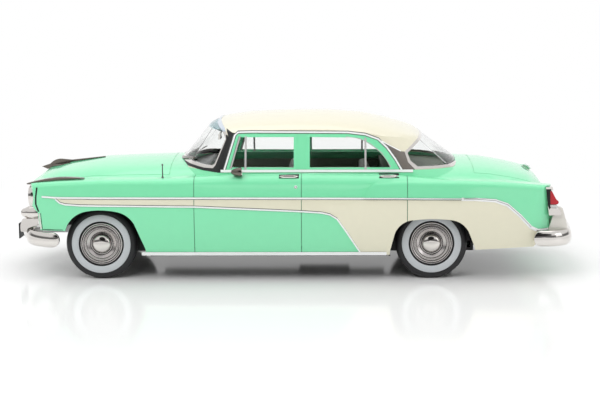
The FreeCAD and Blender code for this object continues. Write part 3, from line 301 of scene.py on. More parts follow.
def resurfaced(name, bevel=0.0, zones=(), paint=()):
    """The node's solid, shaded smooth: zones are (look, side-view outline, reach), paint (look, test)."""
    flat, sharp = radians(0.4), radians(40)
    work = welded(name)
    looks = list(dict.fromkeys([look_of(name)] + [row[0] for row in (*zones, *paint)]))
    if bevel:
        bmesh.ops.dissolve_limit(work, angle_limit=flat, verts=work.verts, edges=work.edges)
    for look, outline, reach in zones:
        side_zone(work, outline, looks.index(look), reach)
    work.normal_update()
    for look, test in paint:
        for face in work.faces:
            middle = face.calc_center_median() / MM
            if test(Vector((middle.x - MIDDLE / MM, middle.y, middle.z)), face.normal):
                face.material_index = looks.index(look)
    crease(work, 28)
    piece = placed(name + "_look", finished(work, name + "_look"), looks, "car", name)
    if bevel:
        rounding = eased(piece, bevel, segments=2)
        rounding.limit_method = "ANGLE"
        rounding.angle_limit = sharp


def banded(*bands):
    """Rows of radius, distance along the axis and look, from bands of a look and its points."""
    return [(radius, out, look) for look, *points in bands for radius, out in points]


def lathe(name, rings, foot, axis, body, *nodes, steps=96):
    """A turned piece: rows of radius, distance along the axis and the look of the next band."""
    work = bmesh.new()
    looks, rows = [], []
    first = axis.orthogonal().normalized()
    second = axis.cross(first)
    for radius, out, look in rings:
        if look not in looks:
            looks.append(look)
        count = steps if radius else 1
        spokes = [first * cos(2 * pi * k / steps) + second * sin(2 * pi * k / steps) for k in range(count)]
        rows.append([work.verts.new(foot + (axis * out + spoke * radius) * MM) for spoke in spokes])
    for (*_, look), lower, upper in zip(rings, rows, rows[1:]):
        for k in range(steps):
            after = (k + 1) % steps
            ring = [lower[k % len(lower)], lower[after % len(lower)]]
            ring += [upper[after % len(upper)], upper[k % len(upper)]]
            corners = [v for n, v in enumerate(ring) if v not in ring[:n]]
            work.faces.new(corners).material_index = looks.index(look)
    bmesh.ops.recalc_face_normals(work, faces=work.faces)
    crease(work, 25)
    placed(name, finished(work, name), looks, body, *nodes)


def wire(name, points, radius, look):
    """A round wire through the points, which are in metres."""
    curve = bpy.data.curves.new(name, "CURVE")
    curve.dimensions = "3D"
    curve.bevel_depth = radius * MM
    curve.bevel_resolution = 3
    curve.use_fill_caps = True
    line = curve.splines.new("POLY")
    line.points.add(len(points) - 1)
    for slot, point in zip(line.points, points):
        slot.co = (*point, 1.0)
    placed(name, curve, [look], "car")


def skin_of(*names):
    """A tree to meet the nodes' surfaces with."""
    verts, faces = [], []
    for name in names:
        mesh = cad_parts[name].data
        faces += [[len(verts) + index for index in face.vertices] for face in mesh.polygons]
        verts += [v.co.copy() for v in mesh.vertices]
    return BVHTree.FromPolygons(verts, faces)


body_skin = skin_of("body_shell", "roof_shell")


def prism(name, outline, y_from, y_to, look, *nodes):
    """A side-view outline carried across the car, its edges eased."""
    work = bmesh.new()
    caps = []
    for y in (y_from, y_to):
        caps.append([work.verts.new(at(x, y, z)) for x, z in outline])
        work.faces.new(caps[-1])
    near, far = caps
    for a, b, c, d in zip(near, near[1:] + near[:1], far[1:] + far[:1], far):
        work.faces.new((a, b, c, d))
    bmesh.ops.recalc_face_normals(work, faces=work.faces)
    crease(work, 40)
    piece = placed(name, finished(work, name), [look], "car", *nodes)
    eased(piece, 0.25)


def laid_strip(name, points, width, look, proud=0.14, step=0.8):
    """A crowned strip along a side-view line, laid on both sides of the body and standing proud of it."""
    work = bmesh.new()
    for sign in (-1, 1):
        rows = []
        for (x0, z0), (x1, z1) in zip(points, points[1:]):
            run = Vector((x1 - x0, z1 - z0))
            count = max(1, int(run.length / step))
            lift = Vector((-run.y, run.x)).normalized() * width / 2
            for k in range(count + 1):
                x, z = x0 + run.x * k / count, z0 + run.y * k / count
                row = []
                for share, out in ((-1, 0.02), (-0.6, proud), (0.6, proud), (1, 0.02)):
                    start = at(x + share * lift.x, sign * CLEAR, z + share * lift.y)
                    hit = body_skin.ray_cast(start, Vector((0, -sign, 0)))[0]
                    if hit is not None:
                        row.append(work.verts.new(hit + Vector((0, sign * out * MM, 0))))
                if len(row) == 4:
                    rows.append(row)
        for lower, upper in zip(rows, rows[1:]):
            for a, b, c, d in zip(lower, lower[1:], upper[1:], upper):
                work.faces.new((a, b, c, d))
    bmesh.ops.recalc_face_normals(work, faces=work.faces)
    crease(work, 60)
    placed(name, finished(work, name), [look], "car")


# ---------------------------------------------------------------------------
# Painted shells
# ---------------------------------------------------------------------------
# Side-view lines and outlines, x and z: the two side mouldings, then what is painted apart
UPPER = [(-119.5, 45.5), (-109.2, 45.1), (-34.5, 45.0), (71.6, 44.6), (112.0, 44.2), (122.0, 43.6),
         (128.5, 41.4), (135.4, 35.4), (141.6, 28.8), (144.6, 27.3), (151.0, 27.2)]
LOWER = [(-111.9, 44.3), (-109.6, 42.3), (-106.6, 41.5), (-98.6, 41.0), (-37.9, 40.4), (19.9, 37.8),
         (30.0, 37.1), (34.4, 36.1), (38.2, 33.8), (42.6, 27.6), (50.4, 15.6)]
SIDE_FLASH = UPPER + [(165.0, 27.0), (165.0, 5.0), (50.4, 5.0)] + LOWER[::-1]
DRIP = [(-22.0, 59.2), (-16.5, 77.2), (-14.8, 78.7), (-8.0, 78.9), (44.0, 78.5), (53.4, 77.4), (60.2, 75.0),
        (65.0, 70.6), (69.4, 64.6), (72.8, 58.9)]
DOORS = DRIP + [(72.8, 50.0), (-22.0, 50.0)]
PILLAR = [(-25.8, 57.6), (-25.2, 59.4), (-20.1, 76.2), (-21.4, 80.4), (-17.7, 78.4), (-15.6, 78.2),
          (-16.5, 77.2), (-22.0, 59.2), (-22.4, 57.6)]
QUARTER = [(60.2, 75.0), (61.9, 73.9), (72.4, 68.5), (76.4, 68.1), (76.2, 62.8), (79.8, 59.2), (79.8, 58.9),
           (72.8, 58.9), (69.4, 64.6), (65.0, 70.6)]
BELOW = [(-21.9, 59.4), (-21.9, 50.0), (-70.0, 50.0), (-70.0, 60.4), (-34.3, 58.9), (-25.4, 57.9)]
BEHIND = [(72.8, 58.9), (72.8, 50.0), (130.0, 50.0), (130.0, 58.9)]
SHUT_LINES = [[(-37.8, 14.0), (-37.8, 57.0)], [(19.3, 14.0), (19.3, 57.0)], [(75.5, 24.0), (75.5, 57.0)]]
VENT_LEG = [(-18.6, 59.8), (-13.8, 76.5)]
WINDSHIELD_EDGE = [(-64.0, 61.9), (-48.6, 61.9), (-39.2, 60.9), (-33.2, 60.0), (-28.2, 59.9), (-26.9, 61.4),
                   (-21.3, 74.9), (-21.6, 77.2)]
WINDSHIELD_SIDE = WINDSHIELD_EDGE + [(-19.0, 77.2), (-19.0, 56.0), (-64.0, 56.0)]
SHADE_BAND = [(-36.0, 79.4), (-36.0, 90.0), (-15.0, 90.0), (-15.0, 79.4)]
HEADER = [(-36.0, 78.9), (-36.0, 90.0), (-15.0, 90.0), (-15.0, 78.9)]
REAR_EDGE = [(43.0, 76.1), (50.6, 75.2), (56.4, 72.3), (62.3, 67.6), (66.9, 60.4)]
VENT_BARS = [[(x, 59.0), (x, 76.6)] for x in (-10.7, 53.5)]
# How far from the middle plane the flash, the body's outer sheet and the cabin's sides begin
FLASH_REACH, SHEET_REACH, CABIN_REACH = 36.0, 46.0, 30.0


def paint_shells():
    """The two-tone body with its shut lines, the roof with its pillars, and the window frames."""
    # Shaded lines just below the upper moulding and just above the lower one
    under = [(x, z - 0.62) for x, z in UPPER]
    over = [(x, z + 0.55) for x, z in LOWER]
    zones = [("cream", SIDE_FLASH, FLASH_REACH)]
    zones += [("grey_and_shade", bordered(under[1:], 0.36), SHEET_REACH), ("grey_and_shade", bordered(over, 0.3), SHEET_REACH)]
    zones += [("seam", bordered(line, 0.34), SHEET_REACH) for line in SHUT_LINES]
    resurfaced("body_shell", zones=zones)
    zones = [("green", BELOW, 0.0), ("green", BEHIND, 0.0), ("green", DOORS, CABIN_REACH),
             ("black", PILLAR, CABIN_REACH), ("umber", QUARTER, CABIN_REACH),
             # Painted shadow lines along both sides of the drip moulding
             ("grey_and_shade", bordered(DRIP, 1.7), CABIN_REACH)]
    lining = ("lining", lambda middle, normal: normal.z < -0.35 and middle.z > 62.0)
    resurfaced("roof_shell", zones=zones, paint=[lining])
    frames = [("grey_and_shade", bordered(VENT_LEG, 1.3), 0.0), ("trim", bordered(VENT_LEG, 0.8), 0.0),
              ("trim", bordered(REAR_EDGE, 0.5), 0.0)]
    frames += [("trim", bordered(bar, 1.2), 0.0) for bar in VENT_BARS]
    for hand in ("left", "right"):
        resurfaced("window_frames_" + hand, bevel=0.1, zones=frames)


paint_shells()

# ---------------------------------------------------------------------------
# Bright work
# ---------------------------------------------------------------------------
# The pocket in a tail lamp's side, painted near-black as shade: its side-view outline and how far out it
# begins
LAMP_POCKET = [(149.0, 48.8), (151.9, 48.8), (151.9, 38.9), (151.2, 37.8), (150.2, 40.0)]
LAMP_REACH = 49.2
# The reversing glass is the part of the tail lens below this height
REVERSING_TOP = 40.35
# Forward faces further back than this, the ground behind the grille's bars, are painted near-black as shade
GRILLE_BACK = -123.4
# The mouldings' top and bottom faces are painted dark grey as painted shade
for name in ("belt_mouldings", "drip_mouldings", "upper_mouldings", "lower_mouldings", "sill_mouldings"):
    resurfaced(name, bevel=0.08, paint=[("grey_and_shade", lambda middle, normal: abs(normal.z) > 0.75)])
for name in ("backlight_frame", "front_bumper", "rear_bumper", "bumper_bullet_left", "bumper_bullet_right",
             "headlamp_bezel_left", "headlamp_bezel_right", "chassis", "front_bumper_irons",
             "rear_bumper_irons", "interior_tub", "dashboard", "wipers", "inner_mirror", "lamp_brows",
             "hood_ornament"):
    resurfaced(name, bevel=0.12)
behind_bars = ("gap_and_shadow", lambda middle, normal: middle.x > GRILLE_BACK and normal.x < -0.7)
resurfaced("grille", bevel=0.1, paint=[behind_bars])
for hand in ("left", "right"):
    resurfaced("tail_lamp_" + hand, bevel=0.12, zones=[("gap_and_shadow", LAMP_POCKET, LAMP_REACH)])
    reversing = ("milk", lambda middle, normal: middle.z < REVERSING_TOP)
    resurfaced("tail_lens_" + hand, bevel=0.12, paint=[reversing])
resurfaced("windshield_frame", bevel=0.1, zones=[("black", WINDSHIELD_SIDE, 0.0), ("haze", HEADER, 0.0)])
resurfaced("windshield_glass", zones=[("tint", SHADE_BAND, 0.0)])
# Side-view outlines of the guards on the rear bumper and of the deck lid's pull
GUARD = [(150.9, 25.8), (162.4, 25.8), (161.3, 27.4), (160.2, 32.8), (158.6, 38.2), (157.4, 38.6),
         (155.7, 38.5), (155.7, 34.9), (153.3, 34.0), (152.6, 31.2), (151.9, 29.0)]
GUARD_SPAN = (41.9, 47.3)  # distance from the middle plane, inner and outer
PULL_TOP = [(142.1, 56.2), (143.1, 57.0), (145.8, 56.3), (147.8, 54.1), (147.1, 53.7), (145.4, 55.5),
            (143.2, 56.1)]
PULL_GRIP = [(143.2, 56.1), (145.4, 55.5), (147.1, 53.7), (146.6, 52.6), (142.6, 54.0)]
prism("deck_pull_top", PULL_TOP, -2.6, 2.6, "foil", "deck_handle")
prism("deck_pull_grip", PULL_GRIP, -2.0, 2.0, "chrome")
for hand, sign in HANDS:
    y_from, y_to = sorted(sign * y for y in GUARD_SPAN)
    prism("guard_look_" + hand, GUARD, y_from, y_to, "pearl", "rear_guard_" + hand)
# Side-view lines of the upper moulding's fall to the bumper and of the front fender's leading edge
TAIL_CURVE = [(104.0, 44.1), (112.0, 43.9), (122.0, 43.1), (128.5, 40.8), (135.2, 35.0), (141.2, 28.6),
              (144.6, 27.0)]
TAIL_LINE = [(104.0, 44.3), (112.0, 44.1), (122.1, 43.3), (128.6, 41.0), (135.3, 35.2), (141.4, 28.8)]
FENDER_FRONT = [(-122.2, 50.4), (-122.9, 45.0), (-122.9, 41.4), (-121.5, 37.4)]
laid_strip("tail_curve_strips", TAIL_CURVE, 1.8, "foil", proud=0.4)
# A painted shadow line along the tail curve's moulding
laid_strip("tail_curve_shadow_lines", TAIL_LINE, 0.3, "grey_and_shade", proud=0.5)
laid_strip("fender_edge_strips", [(-121.2, 36.6), (-120.4, 28.0)], 0.7, "chrome")
laid_strip("fender_front_shadows", FENDER_FRONT, 0.9, "gap_and_shadow", proud=0.05)
laid_strip("fender_edge_shadows", [(-120.4, 36.6), (-119.7, 27.8), (-108.4, 27.7)], 0.36, "gap_and_shadow", proud=0.05)
laid_strip("roof_edge_strips", [(61.9, 74.0), (66.8, 71.4), (72.4, 68.6)], 0.5, "foil")
BUTTON = banded(
    ("foil", (0.9, -0.5), (0.9, 0.2)),
    ("gap_and_shadow", (0.7, 0.4)),
    ("foil", (0.5, 0.35), (0.0, 0.45)),
)
for hand, sign in HANDS:
    spot = body_skin.ray_cast(at(16.3, sign * CLEAR, 50.7), Vector((0, -sign, 0)))[0]
    lathe("lock_button_" + hand, BUTTON, spot, Vector((0, sign, 0)), "car", steps=24)

# A door handle's height over the ground and its length, then how far it bows out and its half section
HANDLE_HEIGHT = 56.15
HANDLE_LENGTH = 10.4
HANDLE_BOW = 1.35
HANDLE_SECTION = (0.34, 0.72)


def pull_handle(name, x_from, sign):
    """A door's pull handle: a bar that bows out from the sheet and runs back into it."""
    work = bmesh.new()
    slices, around = 24, 12
    thick, tall = HANDLE_SECTION
    rows = []
    for k in range(slices + 1):
        share = k / slices
        start = at(x_from + HANDLE_LENGTH * share, sign * CLEAR, HANDLE_HEIGHT)
        skin = body_skin.ray_cast(start, Vector((0, -sign, 0)))[0]
        # Both run level between the ends, where the bar meets the sheet and narrows
        bow = HANDLE_BOW * min(1.0, 4.5 * share, 4.5 * (1 - share)) ** 0.6
        round_end = max(0.25, min(1.0, 5.0 * share, 5.0 * (1 - share)) ** 0.5)
        row = []
        for n in range(around):
            angle = 2 * pi * n / around
            out, up = bow + thick * cos(angle), tall * round_end * sin(angle)
            row.append(work.verts.new(skin + Vector((0, sign * out, up)) * MM))
        rows.append(row)
    for lower, upper in zip(rows, rows[1:]):
        for n in range(around):
            after = (n + 1) % around
            work.faces.new((lower[n], lower[after], upper[after], upper[n]))
    work.faces.new(rows[0])
    work.faces.new(rows[-1][::-1])
    bmesh.ops.recalc_face_normals(work, faces=work.faces)
    crease(work, 60)
    placed(name, finished(work, name), ["chrome"], "car", "door_handles")


for x_from, place in ((7.4, "front"), (60.6, "rear")):
    # A painted shadow under each handle's bar
    shadow_line = [(x_from, HANDLE_HEIGHT), (x_from + 10.6, HANDLE_HEIGHT)]
    laid_strip(f"handle_shadow_{place}", shadow_line, 2.0, "gap_and_shadow", proud=0.2)
    for hand, sign in HANDS:
        pull_handle(f"pull_handle_{place}_{hand}", x_from, sign)


def blank_plate(name, outward):
    """A number plate without lettering, its rim left raised round a sunk field."""
    work = welded(name)
    bmesh.ops.dissolve_limit(work, angle_limit=radians(1), verts=work.verts, edges=work.edges)
    work.normal_update()
    fronts = [face for face in work.faces if face.normal.x * outward > 0.9]
    field = max(fronts, key=lambda face: face.calc_area())
    bmesh.ops.inset_region(work, faces=[field], thickness=0.5 * MM, depth=0.0)
    bmesh.ops.inset_region(work, faces=[field], thickness=0.15 * MM, depth=-0.2 * MM)
    field.material_index = 1
    crease(work, 20)
    placed(name + "_look", finished(work, name + "_look"), ["black", "plate"], "car", name)


blank_plate("front_plate", -1)
blank_plate("rear_plate", 1)

# ---------------------------------------------------------------------------
# Lamps, mirror and mast
# ---------------------------------------------------------------------------
REFLECTOR = banded(
    ("chrome", (4.25, -1.3), (3.9, -0.4), (3.1, 0.7), (2.0, 1.4), (0.9, 1.7)),
    ("milk", (0.7, 0.9), (0.55, 0.2), (0.0, 0.0)),
)
for hand, sign in HANDS:
    lathe("reflector_" + hand, REFLECTOR, at(-121.2, sign * 43.0, 45.0), REARWARD, "car", steps=48)
# The mirror's shell and foot are chrome darkened as a painted reflection
MIRROR = banded(
    ("chrome", (0.0, 0.45), (1.9, 0.45)),
    ("dark_reflection_chrome", (2.0, 0.8), (2.3, 0.8), (2.5, 0.3), (2.45, -0.8), (2.2, -2.1), (1.7, -3.5), (1.0, -4.7),
     (0.0, -5.15)),
)
lathe("mirror_head", MIRROR, at(-13.0, -52.6, 58.7), REARWARD, "car", "door_mirror", steps=48)
MIRROR_FOOT = banded(
    ("dark_reflection_chrome", (0.0, -1.0), (1.5, -1.0), (1.4, 0.3), (0.8, 0.7), (0.75, 4.2), (0.0, 4.3)),
)
foot = at(-16.4, -49.4, 55.6)
lean = (at(-14.6, -52.0, 58.4) - foot).normalized()
lathe("mirror_foot", MIRROR_FOOT, foot, lean, "car", steps=32)
MAST = banded(
    ("grey_and_shade", (0.0, -0.6), (1.0, -0.6), (0.95, 0.5), (0.6, 1.1), (0.42, 1.6), (0.34, 2.0), (0.3, 7.2),
     (0.42, 7.45), (0.5, 7.8), (0.42, 8.2), (0.0, 8.45)),
)
lathe("mast", MAST, at(-55.2, -46.0, 54.1), UPWARD, "car", "antenna", steps=32)

# ---------------------------------------------------------------------------
# Underside: exhaust with an open tail pipe
# ---------------------------------------------------------------------------
PIPE = banded(
    ("steel", (0.0, -50.0), (1.2, -50.0), (1.2, 65.2), (1.35, 65.4), (1.35, 66.0)),
    ("gap_and_shadow", (0.95, 66.0), (0.95, 60.0), (0.0, 60.0)),
)
MUFFLER = banded(
    ("steel", (0.0, 16.0), (2.2, 16.0), (2.7, 16.6), (3.0, 17.0), (3.0, 17.8), (2.8, 18.1), (2.8, 43.9),
     (3.0, 44.2), (3.0, 45.0), (2.7, 45.4), (2.2, 46.0), (0.0, 46.0)),
)
lathe("tail_pipe", PIPE, at(0.0, 30.0, 11.6), REARWARD, "car", "exhaust", steps=40)
lathe("muffler_can", MUFFLER, at(0.0, 30.0, 9.9), REARWARD, "car", steps=48)

# ---------------------------------------------------------------------------
# Cabin
# ---------------------------------------------------------------------------
# Half the bench's width, the length over which its ends close, and the sewn channels' spacing and size
SEAT_HALF = 37.5
SEAT_EDGE = 3.4
CHANNEL_PITCH = 6.0
CHANNEL_DEPTH, CHANNEL_WIDTH = 0.55, 0.45


def rounded(share, size):
    """One coordinate of a rounded square of the half size, from a sine or cosine."""
    return copysign(abs(share) ** 0.6, share) * size


def pad(name, centre, half, lean, *nodes):
    """A bench cushion, crowned and sewn into channels, with rounded edges and leaning back by degrees."""
    work = bmesh.new()
    slices, around = 200, 44
    turn = radians(lean)
    rows = []
    for j in range(slices + 1):
        y = SEAT_HALF * sin(pi / 2 * (-1 + 2 * j / slices))
        past = max(0.0, (abs(y) - SEAT_HALF + SEAT_EDGE) / SEAT_EDGE)
        drawn = SEAT_EDGE * 0.8 * (1 - sqrt(max(0.0, 1 - past * past)))
        offset = (y / CHANNEL_PITCH) % 1.0 - 0.5
        channel = CHANNEL_DEPTH * exp(-((offset * CHANNEL_PITCH / CHANNEL_WIDTH) ** 2))
        crown = 0.5 * (1 - (y / SEAT_HALF) ** 2)
        row = []
        for k in range(around):
            angle = 2 * pi * k / around
            u = rounded(cos(angle), half[0] - drawn - channel * 0.6 + crown * 0.4)
            v = rounded(sin(angle), half[1] - drawn - channel + crown)
            x, z = u * cos(turn) - v * sin(turn), u * sin(turn) + v * cos(turn)
            row.append(work.verts.new(at(centre[0] + x, y, centre[1] + z)))
        rows.append(row)
    for lower, upper in zip(rows, rows[1:]):
        for k in range(around):
            after = (k + 1) % around
            work.faces.new((lower[k], lower[after], upper[after], upper[k]))
    work.faces.new(rows[0])
    work.faces.new(rows[-1][::-1])
    bmesh.ops.recalc_face_normals(work, faces=work.faces)
    crease(work, 50)
    piece = placed(name, finished(work, name), ["hide"], "car", *nodes)


# name, centre x and z, half length and half thickness, lean, node it stands for
PADS = [
    ("front_cushion", (2.6, 26.2), (11.6, 7.4), 4.0, "front_seat"),
    ("front_back", (16.0, 43.6), (12.8, 3.0), 104.0),
    ("rear_cushion", (43.6, 27.0), (9.4, 8.2), 4.0, "rear_seat"),
    ("rear_back", (56.6, 44.4), (11.8, 3.2), 108.0),
]
for row in PADS:
    pad(*row)


# The rail's path, x and y, its section, y from the path and z, and the height at which its cap begins
RAIL_PATH = [(-26.0, 40.2), (-22.0, 42.6), (-16.0, 43.6), (0.0, 44.0), (30.0, 44.0), (60.0, 43.6),
             (68.0, 42.6)]
RAIL_SECTION = [(0.0, 54.6), (-0.9, 55.0), (-1.1, 58.2), (-0.8, 59.0), (-0.2, 59.3), (0.5, 59.1), (0.7, 58.4),
                (0.7, 54.8)]
RAIL_CAP = 58.8


def door_rail(hand, sign):
    """The rail along the doors' tops, seen through the glass: sides darker green as painted shade, cap in
    body colour.
    """
    work = bmesh.new()
    rows = []
    for x, y in RAIL_PATH:
        rows.append([work.verts.new(at(x, sign * (y + inward), z)) for inward, z in RAIL_SECTION])
    for lower, upper in zip(rows, rows[1:]):
        for a, b, c, d in zip(lower, lower[1:] + lower[:1], upper[1:] + upper[:1], upper):
            face = work.faces.new((a, b, c, d))
            face.material_index = 1 if face.calc_center_median().z > RAIL_CAP * MM else 0
    work.faces.new(rows[0])
    work.faces.new(rows[-1][::-1])
    bmesh.ops.recalc_face_normals(work, faces=work.faces)
    crease(work, 50)
    name = "door_rail_" + hand
    placed(name, finished(work, name), ["shaded_green", "green"], "car")


HUB = banded(
    ("grey_and_shade", (0.0, -11.0), (0.9, -11.0), (0.9, -1.6), (1.8, -1.0)),
    ("chrome", (2.0, 0.0), (1.6, 0.5), (0.0, 0.8)),
)


def hoop(name, radius, tube, look, centre, axis, *nodes):
    """A ring of round section."""
    angles = [pi * k / 6 for k in range(13)]
    rings = [(radius + tube * cos(angle), tube * sin(angle), look) for angle in angles]
    lathe(name, rings, centre, axis, "car", *nodes, steps=72)


def steering_wheel():
    """Thin rim, horn ring, three spokes and hub on the column."""
    lean = radians(28.0)
    axis = Vector((cos(lean), 0, sin(lean)))
    centre = at(-24.0, -20.0, 52.0)
    hoop("wheel_rim", 10.6, 0.55, "grey_and_shade", centre, axis, "steering_wheel")
    hoop("horn_ring", 5.6, 0.2, "chrome", centre, axis)
    lathe("wheel_hub", HUB, centre, axis, "car", steps=32)
    first = axis.orthogonal().normalized()
    for index, angle in enumerate((90.0, 210.0, 330.0)):
        reach = Matrix.Rotation(radians(angle), 3, axis) @ first
        wire(f"wheel_spoke_{index}", [centre, centre + reach * 10.5 * MM], 0.4, "grey_and_shade")


DIAL = banded(
    ("chrome", (2.9, -0.4), (2.9, 0.3), (2.6, 0.4)),
    ("dial", (2.45, 0.1)),
    ("gap_and_shadow", (0.35, 0.1), (0.3, 0.3), (0.0, 0.3)),
)
steering_wheel()
for hand, sign in HANDS:
    door_rail(hand, sign)
DASH_FACING = Vector((0.942, 0, -0.335))
for index, y in enumerate((-25.0, -15.0, 0.0)):
    lathe(f"dial_{index}", DIAL, at(-32.9, y, 51.4), DASH_FACING, "car", steps=40)

# ---------------------------------------------------------------------------
# Wheels and tyres
# ---------------------------------------------------------------------------
TYRE = banded(
    ("rubber", (11.75, -4.0), (13.2, -4.9), (14.6, -5.2), (16.4, -5.05), (17.7, -4.6), (18.6, -3.9),
     (19.0, -3.2), (19.15, -2.6), (18.75, -2.5), (18.75, -2.15), (19.18, -2.05), (19.18, -0.75),
     (18.75, -0.65), (18.75, -0.3), (19.19, -0.2), (19.19, 0.2), (18.75, 0.3), (18.75, 0.65),
     (19.18, 0.75), (19.18, 2.05), (18.75, 2.15), (18.75, 2.5), (19.15, 2.6), (19.0, 3.2), (18.6, 3.9),
     (17.7, 4.6), (16.9, 4.85), (16.1, 4.98)),
    ("whitewall", (15.9, 4.9), (15.75, 5.12), (14.6, 5.28), (13.2, 5.15)),
    ("rubber", (12.25, 4.8), (11.95, 4.55), (11.75, 4.1), (11.75, -4.0)),
)
# The near-black bands are painted shade in the cover's grooves and in the gap round its rim
COVER = banded(
    ("steel", (0.0, -1.0), (3.0, -1.0), (3.0, 1.0), (10.2, 0.6), (10.9, -3.4)),
    ("gap_and_shadow", (11.7, -3.6), (11.7, 3.4)),
    ("satin", (11.45, 4.0), (11.35, 4.45), (11.1, 4.62)),
    ("gap_and_shadow", (10.75, 4.6)),
    ("satin", (10.5, 4.3), (10.35, 4.55), (10.1, 4.7), (9.85, 4.55)),
    ("gap_and_shadow", (9.6, 4.15)),
    ("satin", (9.3, 3.95), (8.95, 4.0), (8.75, 4.3), (8.4, 4.32)),
    ("gap_and_shadow", (8.2, 4.1)),
    ("satin", (7.95, 3.9), (7.3, 3.55), (6.6, 3.1)),
    ("gap_and_shadow", (6.35, 3.0)),
    ("satin", (6.0, 3.05), (5.75, 3.3)),
    ("gap_and_shadow", (5.5, 3.35)),
    ("chrome", (5.2, 3.2), (5.1, 3.5), (4.8, 4.0), (4.3, 4.5), (3.6, 4.9), (2.7, 5.18), (1.7, 5.33),
     (0.8, 5.39), (0.0, 5.4)),
)
AXLE_HEIGHT = 19.2
# place, axle's x, distance of its wheels' middle from the middle plane
AXLES = (("front", -88.9, 42.5), ("rear", 88.9, 42.1))
for place, x, half_track in AXLES:
    for hand, sign in HANDS:
        spot = f"{place}_{hand}"
        middle = at(x, sign * half_track, AXLE_HEIGHT)
        outward = Vector((0, sign, 0))
        lathe("tyre_look_" + spot, TYRE, middle, outward, spot + "_wheel", "tyre_" + spot)
        lathe("cover_look_" + spot, COVER, middle, outward, spot + "_wheel", "wheel_" + spot)

# ---------------------------------------------------------------------------
# Floor, light and camera
# ---------------------------------------------------------------------------
def math_node(tree, operation, first, second):
    """The result of a math node fed by two outputs."""
    node = tree.nodes.new("ShaderNodeMath")
    node.operation = operation
    tree.links.new(first, node.inputs[0])
    tree.links.new(second, node.inputs[1])
    return node.outputs["Value"]


def smooth_range(tree, source, low, high, least=0.0, most=1.0):
    """Carries the source from low to high smoothly onto least to most."""
    node = tree.nodes.new("ShaderNodeMapRange")
    node.interpolation_type = "SMOOTHSTEP"
    ends = {"From Min": low, "From Max": high, "To Min": least, "To Max": most}
    for socket, value in ends.items():
        node.inputs[socket].default_value = value
    tree.links.new(source, node.inputs["Value"])
    return node.outputs["Result"]


# Metres from the frame's origin, between which the floor fades to plain white, and its corners
FADE = (0.18, 0.42)
FLOOR_CORNERS = [(-30, -20, 0), (30, -20, 0), (30, 60, 0), (-30, 60, 0)]


def floor_surface():
    """White board with a faint gloss that fades to plain white away from the car."""
    mat = material("floor_white", (0.91, 0.91, 0.91), 0.12, spread=0.005, grain=20.0, bump=0.0,
                   Specular_IOR_Level=0.1)
    tree = mat.node_tree
    nodes, links = tree.nodes, tree.links
    where = nodes.new("ShaderNodeTexCoord")
    length = nodes.new("ShaderNodeVectorMath")
    length.operation = "LENGTH"
    links.new(where.outputs["Object"], length.inputs[0])
    fade = smooth_range(tree, length.outputs["Value"], *FADE)
    path = nodes.new("ShaderNodeLightPath")
    mirrored = math_node(tree, "MAXIMUM", path.outputs["Is Glossy Ray"], path.outputs["Is Transmission Ray"])
    seen = math_node(tree, "MAXIMUM", path.outputs["Is Camera Ray"], mirrored)
    plain = nodes.new("ShaderNodeEmission")
    mix = nodes.new("ShaderNodeMixShader")
    links.new(math_node(tree, "MULTIPLY", seen, fade), mix.inputs[0])
    links.new(nodes["Principled BSDF"].outputs["BSDF"], mix.inputs[1])
    links.new(plain.outputs["Emission"], mix.inputs[2])
    links.new(mix.outputs["Shader"], nodes["Material Output"].inputs["Surface"])
    return mat


floor_mesh = bpy.data.meshes.new("floor")
floor_mesh.from_pydata(FLOOR_CORNERS, [], [(0, 1, 2, 3)])
floor = bpy.data.objects.new("floor", floor_mesh)
bpy.context.scene.collection.objects.link(floor)
floor_mesh.materials.append(floor_surface())


def lamp(name, place, target, size, power):
    """A soft rectangular lamp, in metres and watts, that the camera doesn't see."""
    data = bpy.data.lights.new(name, "AREA")
    data.shape = "RECTANGLE"
    data.size, data.size_y = size
    data.energy = power
    item = bpy.data.objects.new(name, data)
    bpy.context.scene.collection.objects.link(item)
    item.location = place
    item.rotation_euler = (Vector(target) - Vector(place)).to_track_quat("-Z", "Y").to_euler()
    item.visible_camera = False
    return item


key = lamp("key", (-0.35, -0.75, 0.75), (0, 0, 0.03), (0.9, 0.5), 4.5)
# The key leaves no highlight of its own
key.visible_glossy = False
lamp("top", (0.05, 0.1, 0.95), (0, 0, 0), (1.2, 0.9), 2.6)
lamp("fill", (0.9, -0.5, 0.35), (0, 0, 0.04), (0.5, 0.5), 0.8)


# A dark card on the near side: the direction in which it stands, and how far from that it fades out
CARD = (0.0, -0.90, 0.43)
CARD_FADE = (0.30, 0.40)


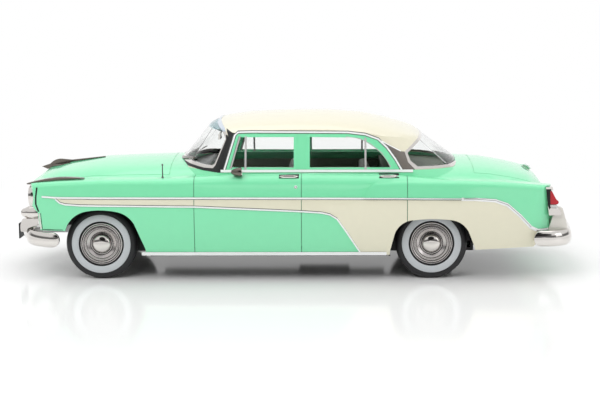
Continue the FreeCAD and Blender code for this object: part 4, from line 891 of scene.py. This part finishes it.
def studio():
    """White to the camera and through glass; to the rest dark, but pale above and on the far side."""
    made = bpy.data.worlds.new("studio")
    made.use_nodes = True
    tree = made.node_tree
    nodes, links = tree.nodes, tree.links
    heading = nodes.new("ShaderNodeTexCoord")
    parts = nodes.new("ShaderNodeSeparateXYZ")
    links.new(heading.outputs["Generated"], parts.inputs["Vector"])
    # Pale where the direction points well away from the camera's side or upward
    beyond = smooth_range(tree, parts.outputs["Y"], 0.25, 0.75)
    above = smooth_range(tree, parts.outputs["Z"], 0.18, 0.34, least=0.16, most=0.85)
    card = nodes.new("ShaderNodeVectorMath")
    card.operation = "DISTANCE"
    card.inputs[1].default_value = CARD
    links.new(heading.outputs["Generated"], card.inputs[0])
    clear = smooth_range(tree, card.outputs["Value"], *CARD_FADE, least=0.03)
    shaded = math_node(tree, "MULTIPLY", math_node(tree, "MAXIMUM", beyond, above), clear)
    path = nodes.new("ShaderNodeLightPath")
    direct = math_node(tree, "MAXIMUM", path.outputs["Is Camera Ray"], path.outputs["Is Transmission Ray"])
    links.new(math_node(tree, "MAXIMUM", shaded, direct), nodes["Background"].inputs["Strength"])
    nodes["Background"].inputs["Color"].default_value = (1.0, 1.0, 1.0, 1.0)
    return made


bpy.context.scene.world = studio()

# The photograph's view: lens in millimetres, place in metres, and the turns in degrees
LENS = 84.9
CAMERA_PLACE = (MIDDLE + 0.0353, -0.7966, 0.1513)
YAW, PITCH, ROLL = -1.29, 8.25, -0.31
camera_data = bpy.data.cameras.new("camera")
camera = bpy.data.objects.new("camera", camera_data)
bpy.context.scene.collection.objects.link(camera)
camera_data.sensor_width = 36.0
camera_data.lens = LENS
camera_data.clip_start = 0.01
yaw, pitch, roll = radians(YAW), radians(PITCH), radians(ROLL)
ahead = Vector((sin(yaw) * cos(pitch), cos(yaw) * cos(pitch), -sin(pitch)))
turn = ahead.to_track_quat("-Z", "Y").to_matrix() @ Matrix.Rotation(roll, 3, "Z")
camera.matrix_world = Matrix.Translation(CAMERA_PLACE) @ turn.to_4x4()
bpy.context.scene.camera = camera
bpy.context.scene.view_settings.view_transform = "Standard"
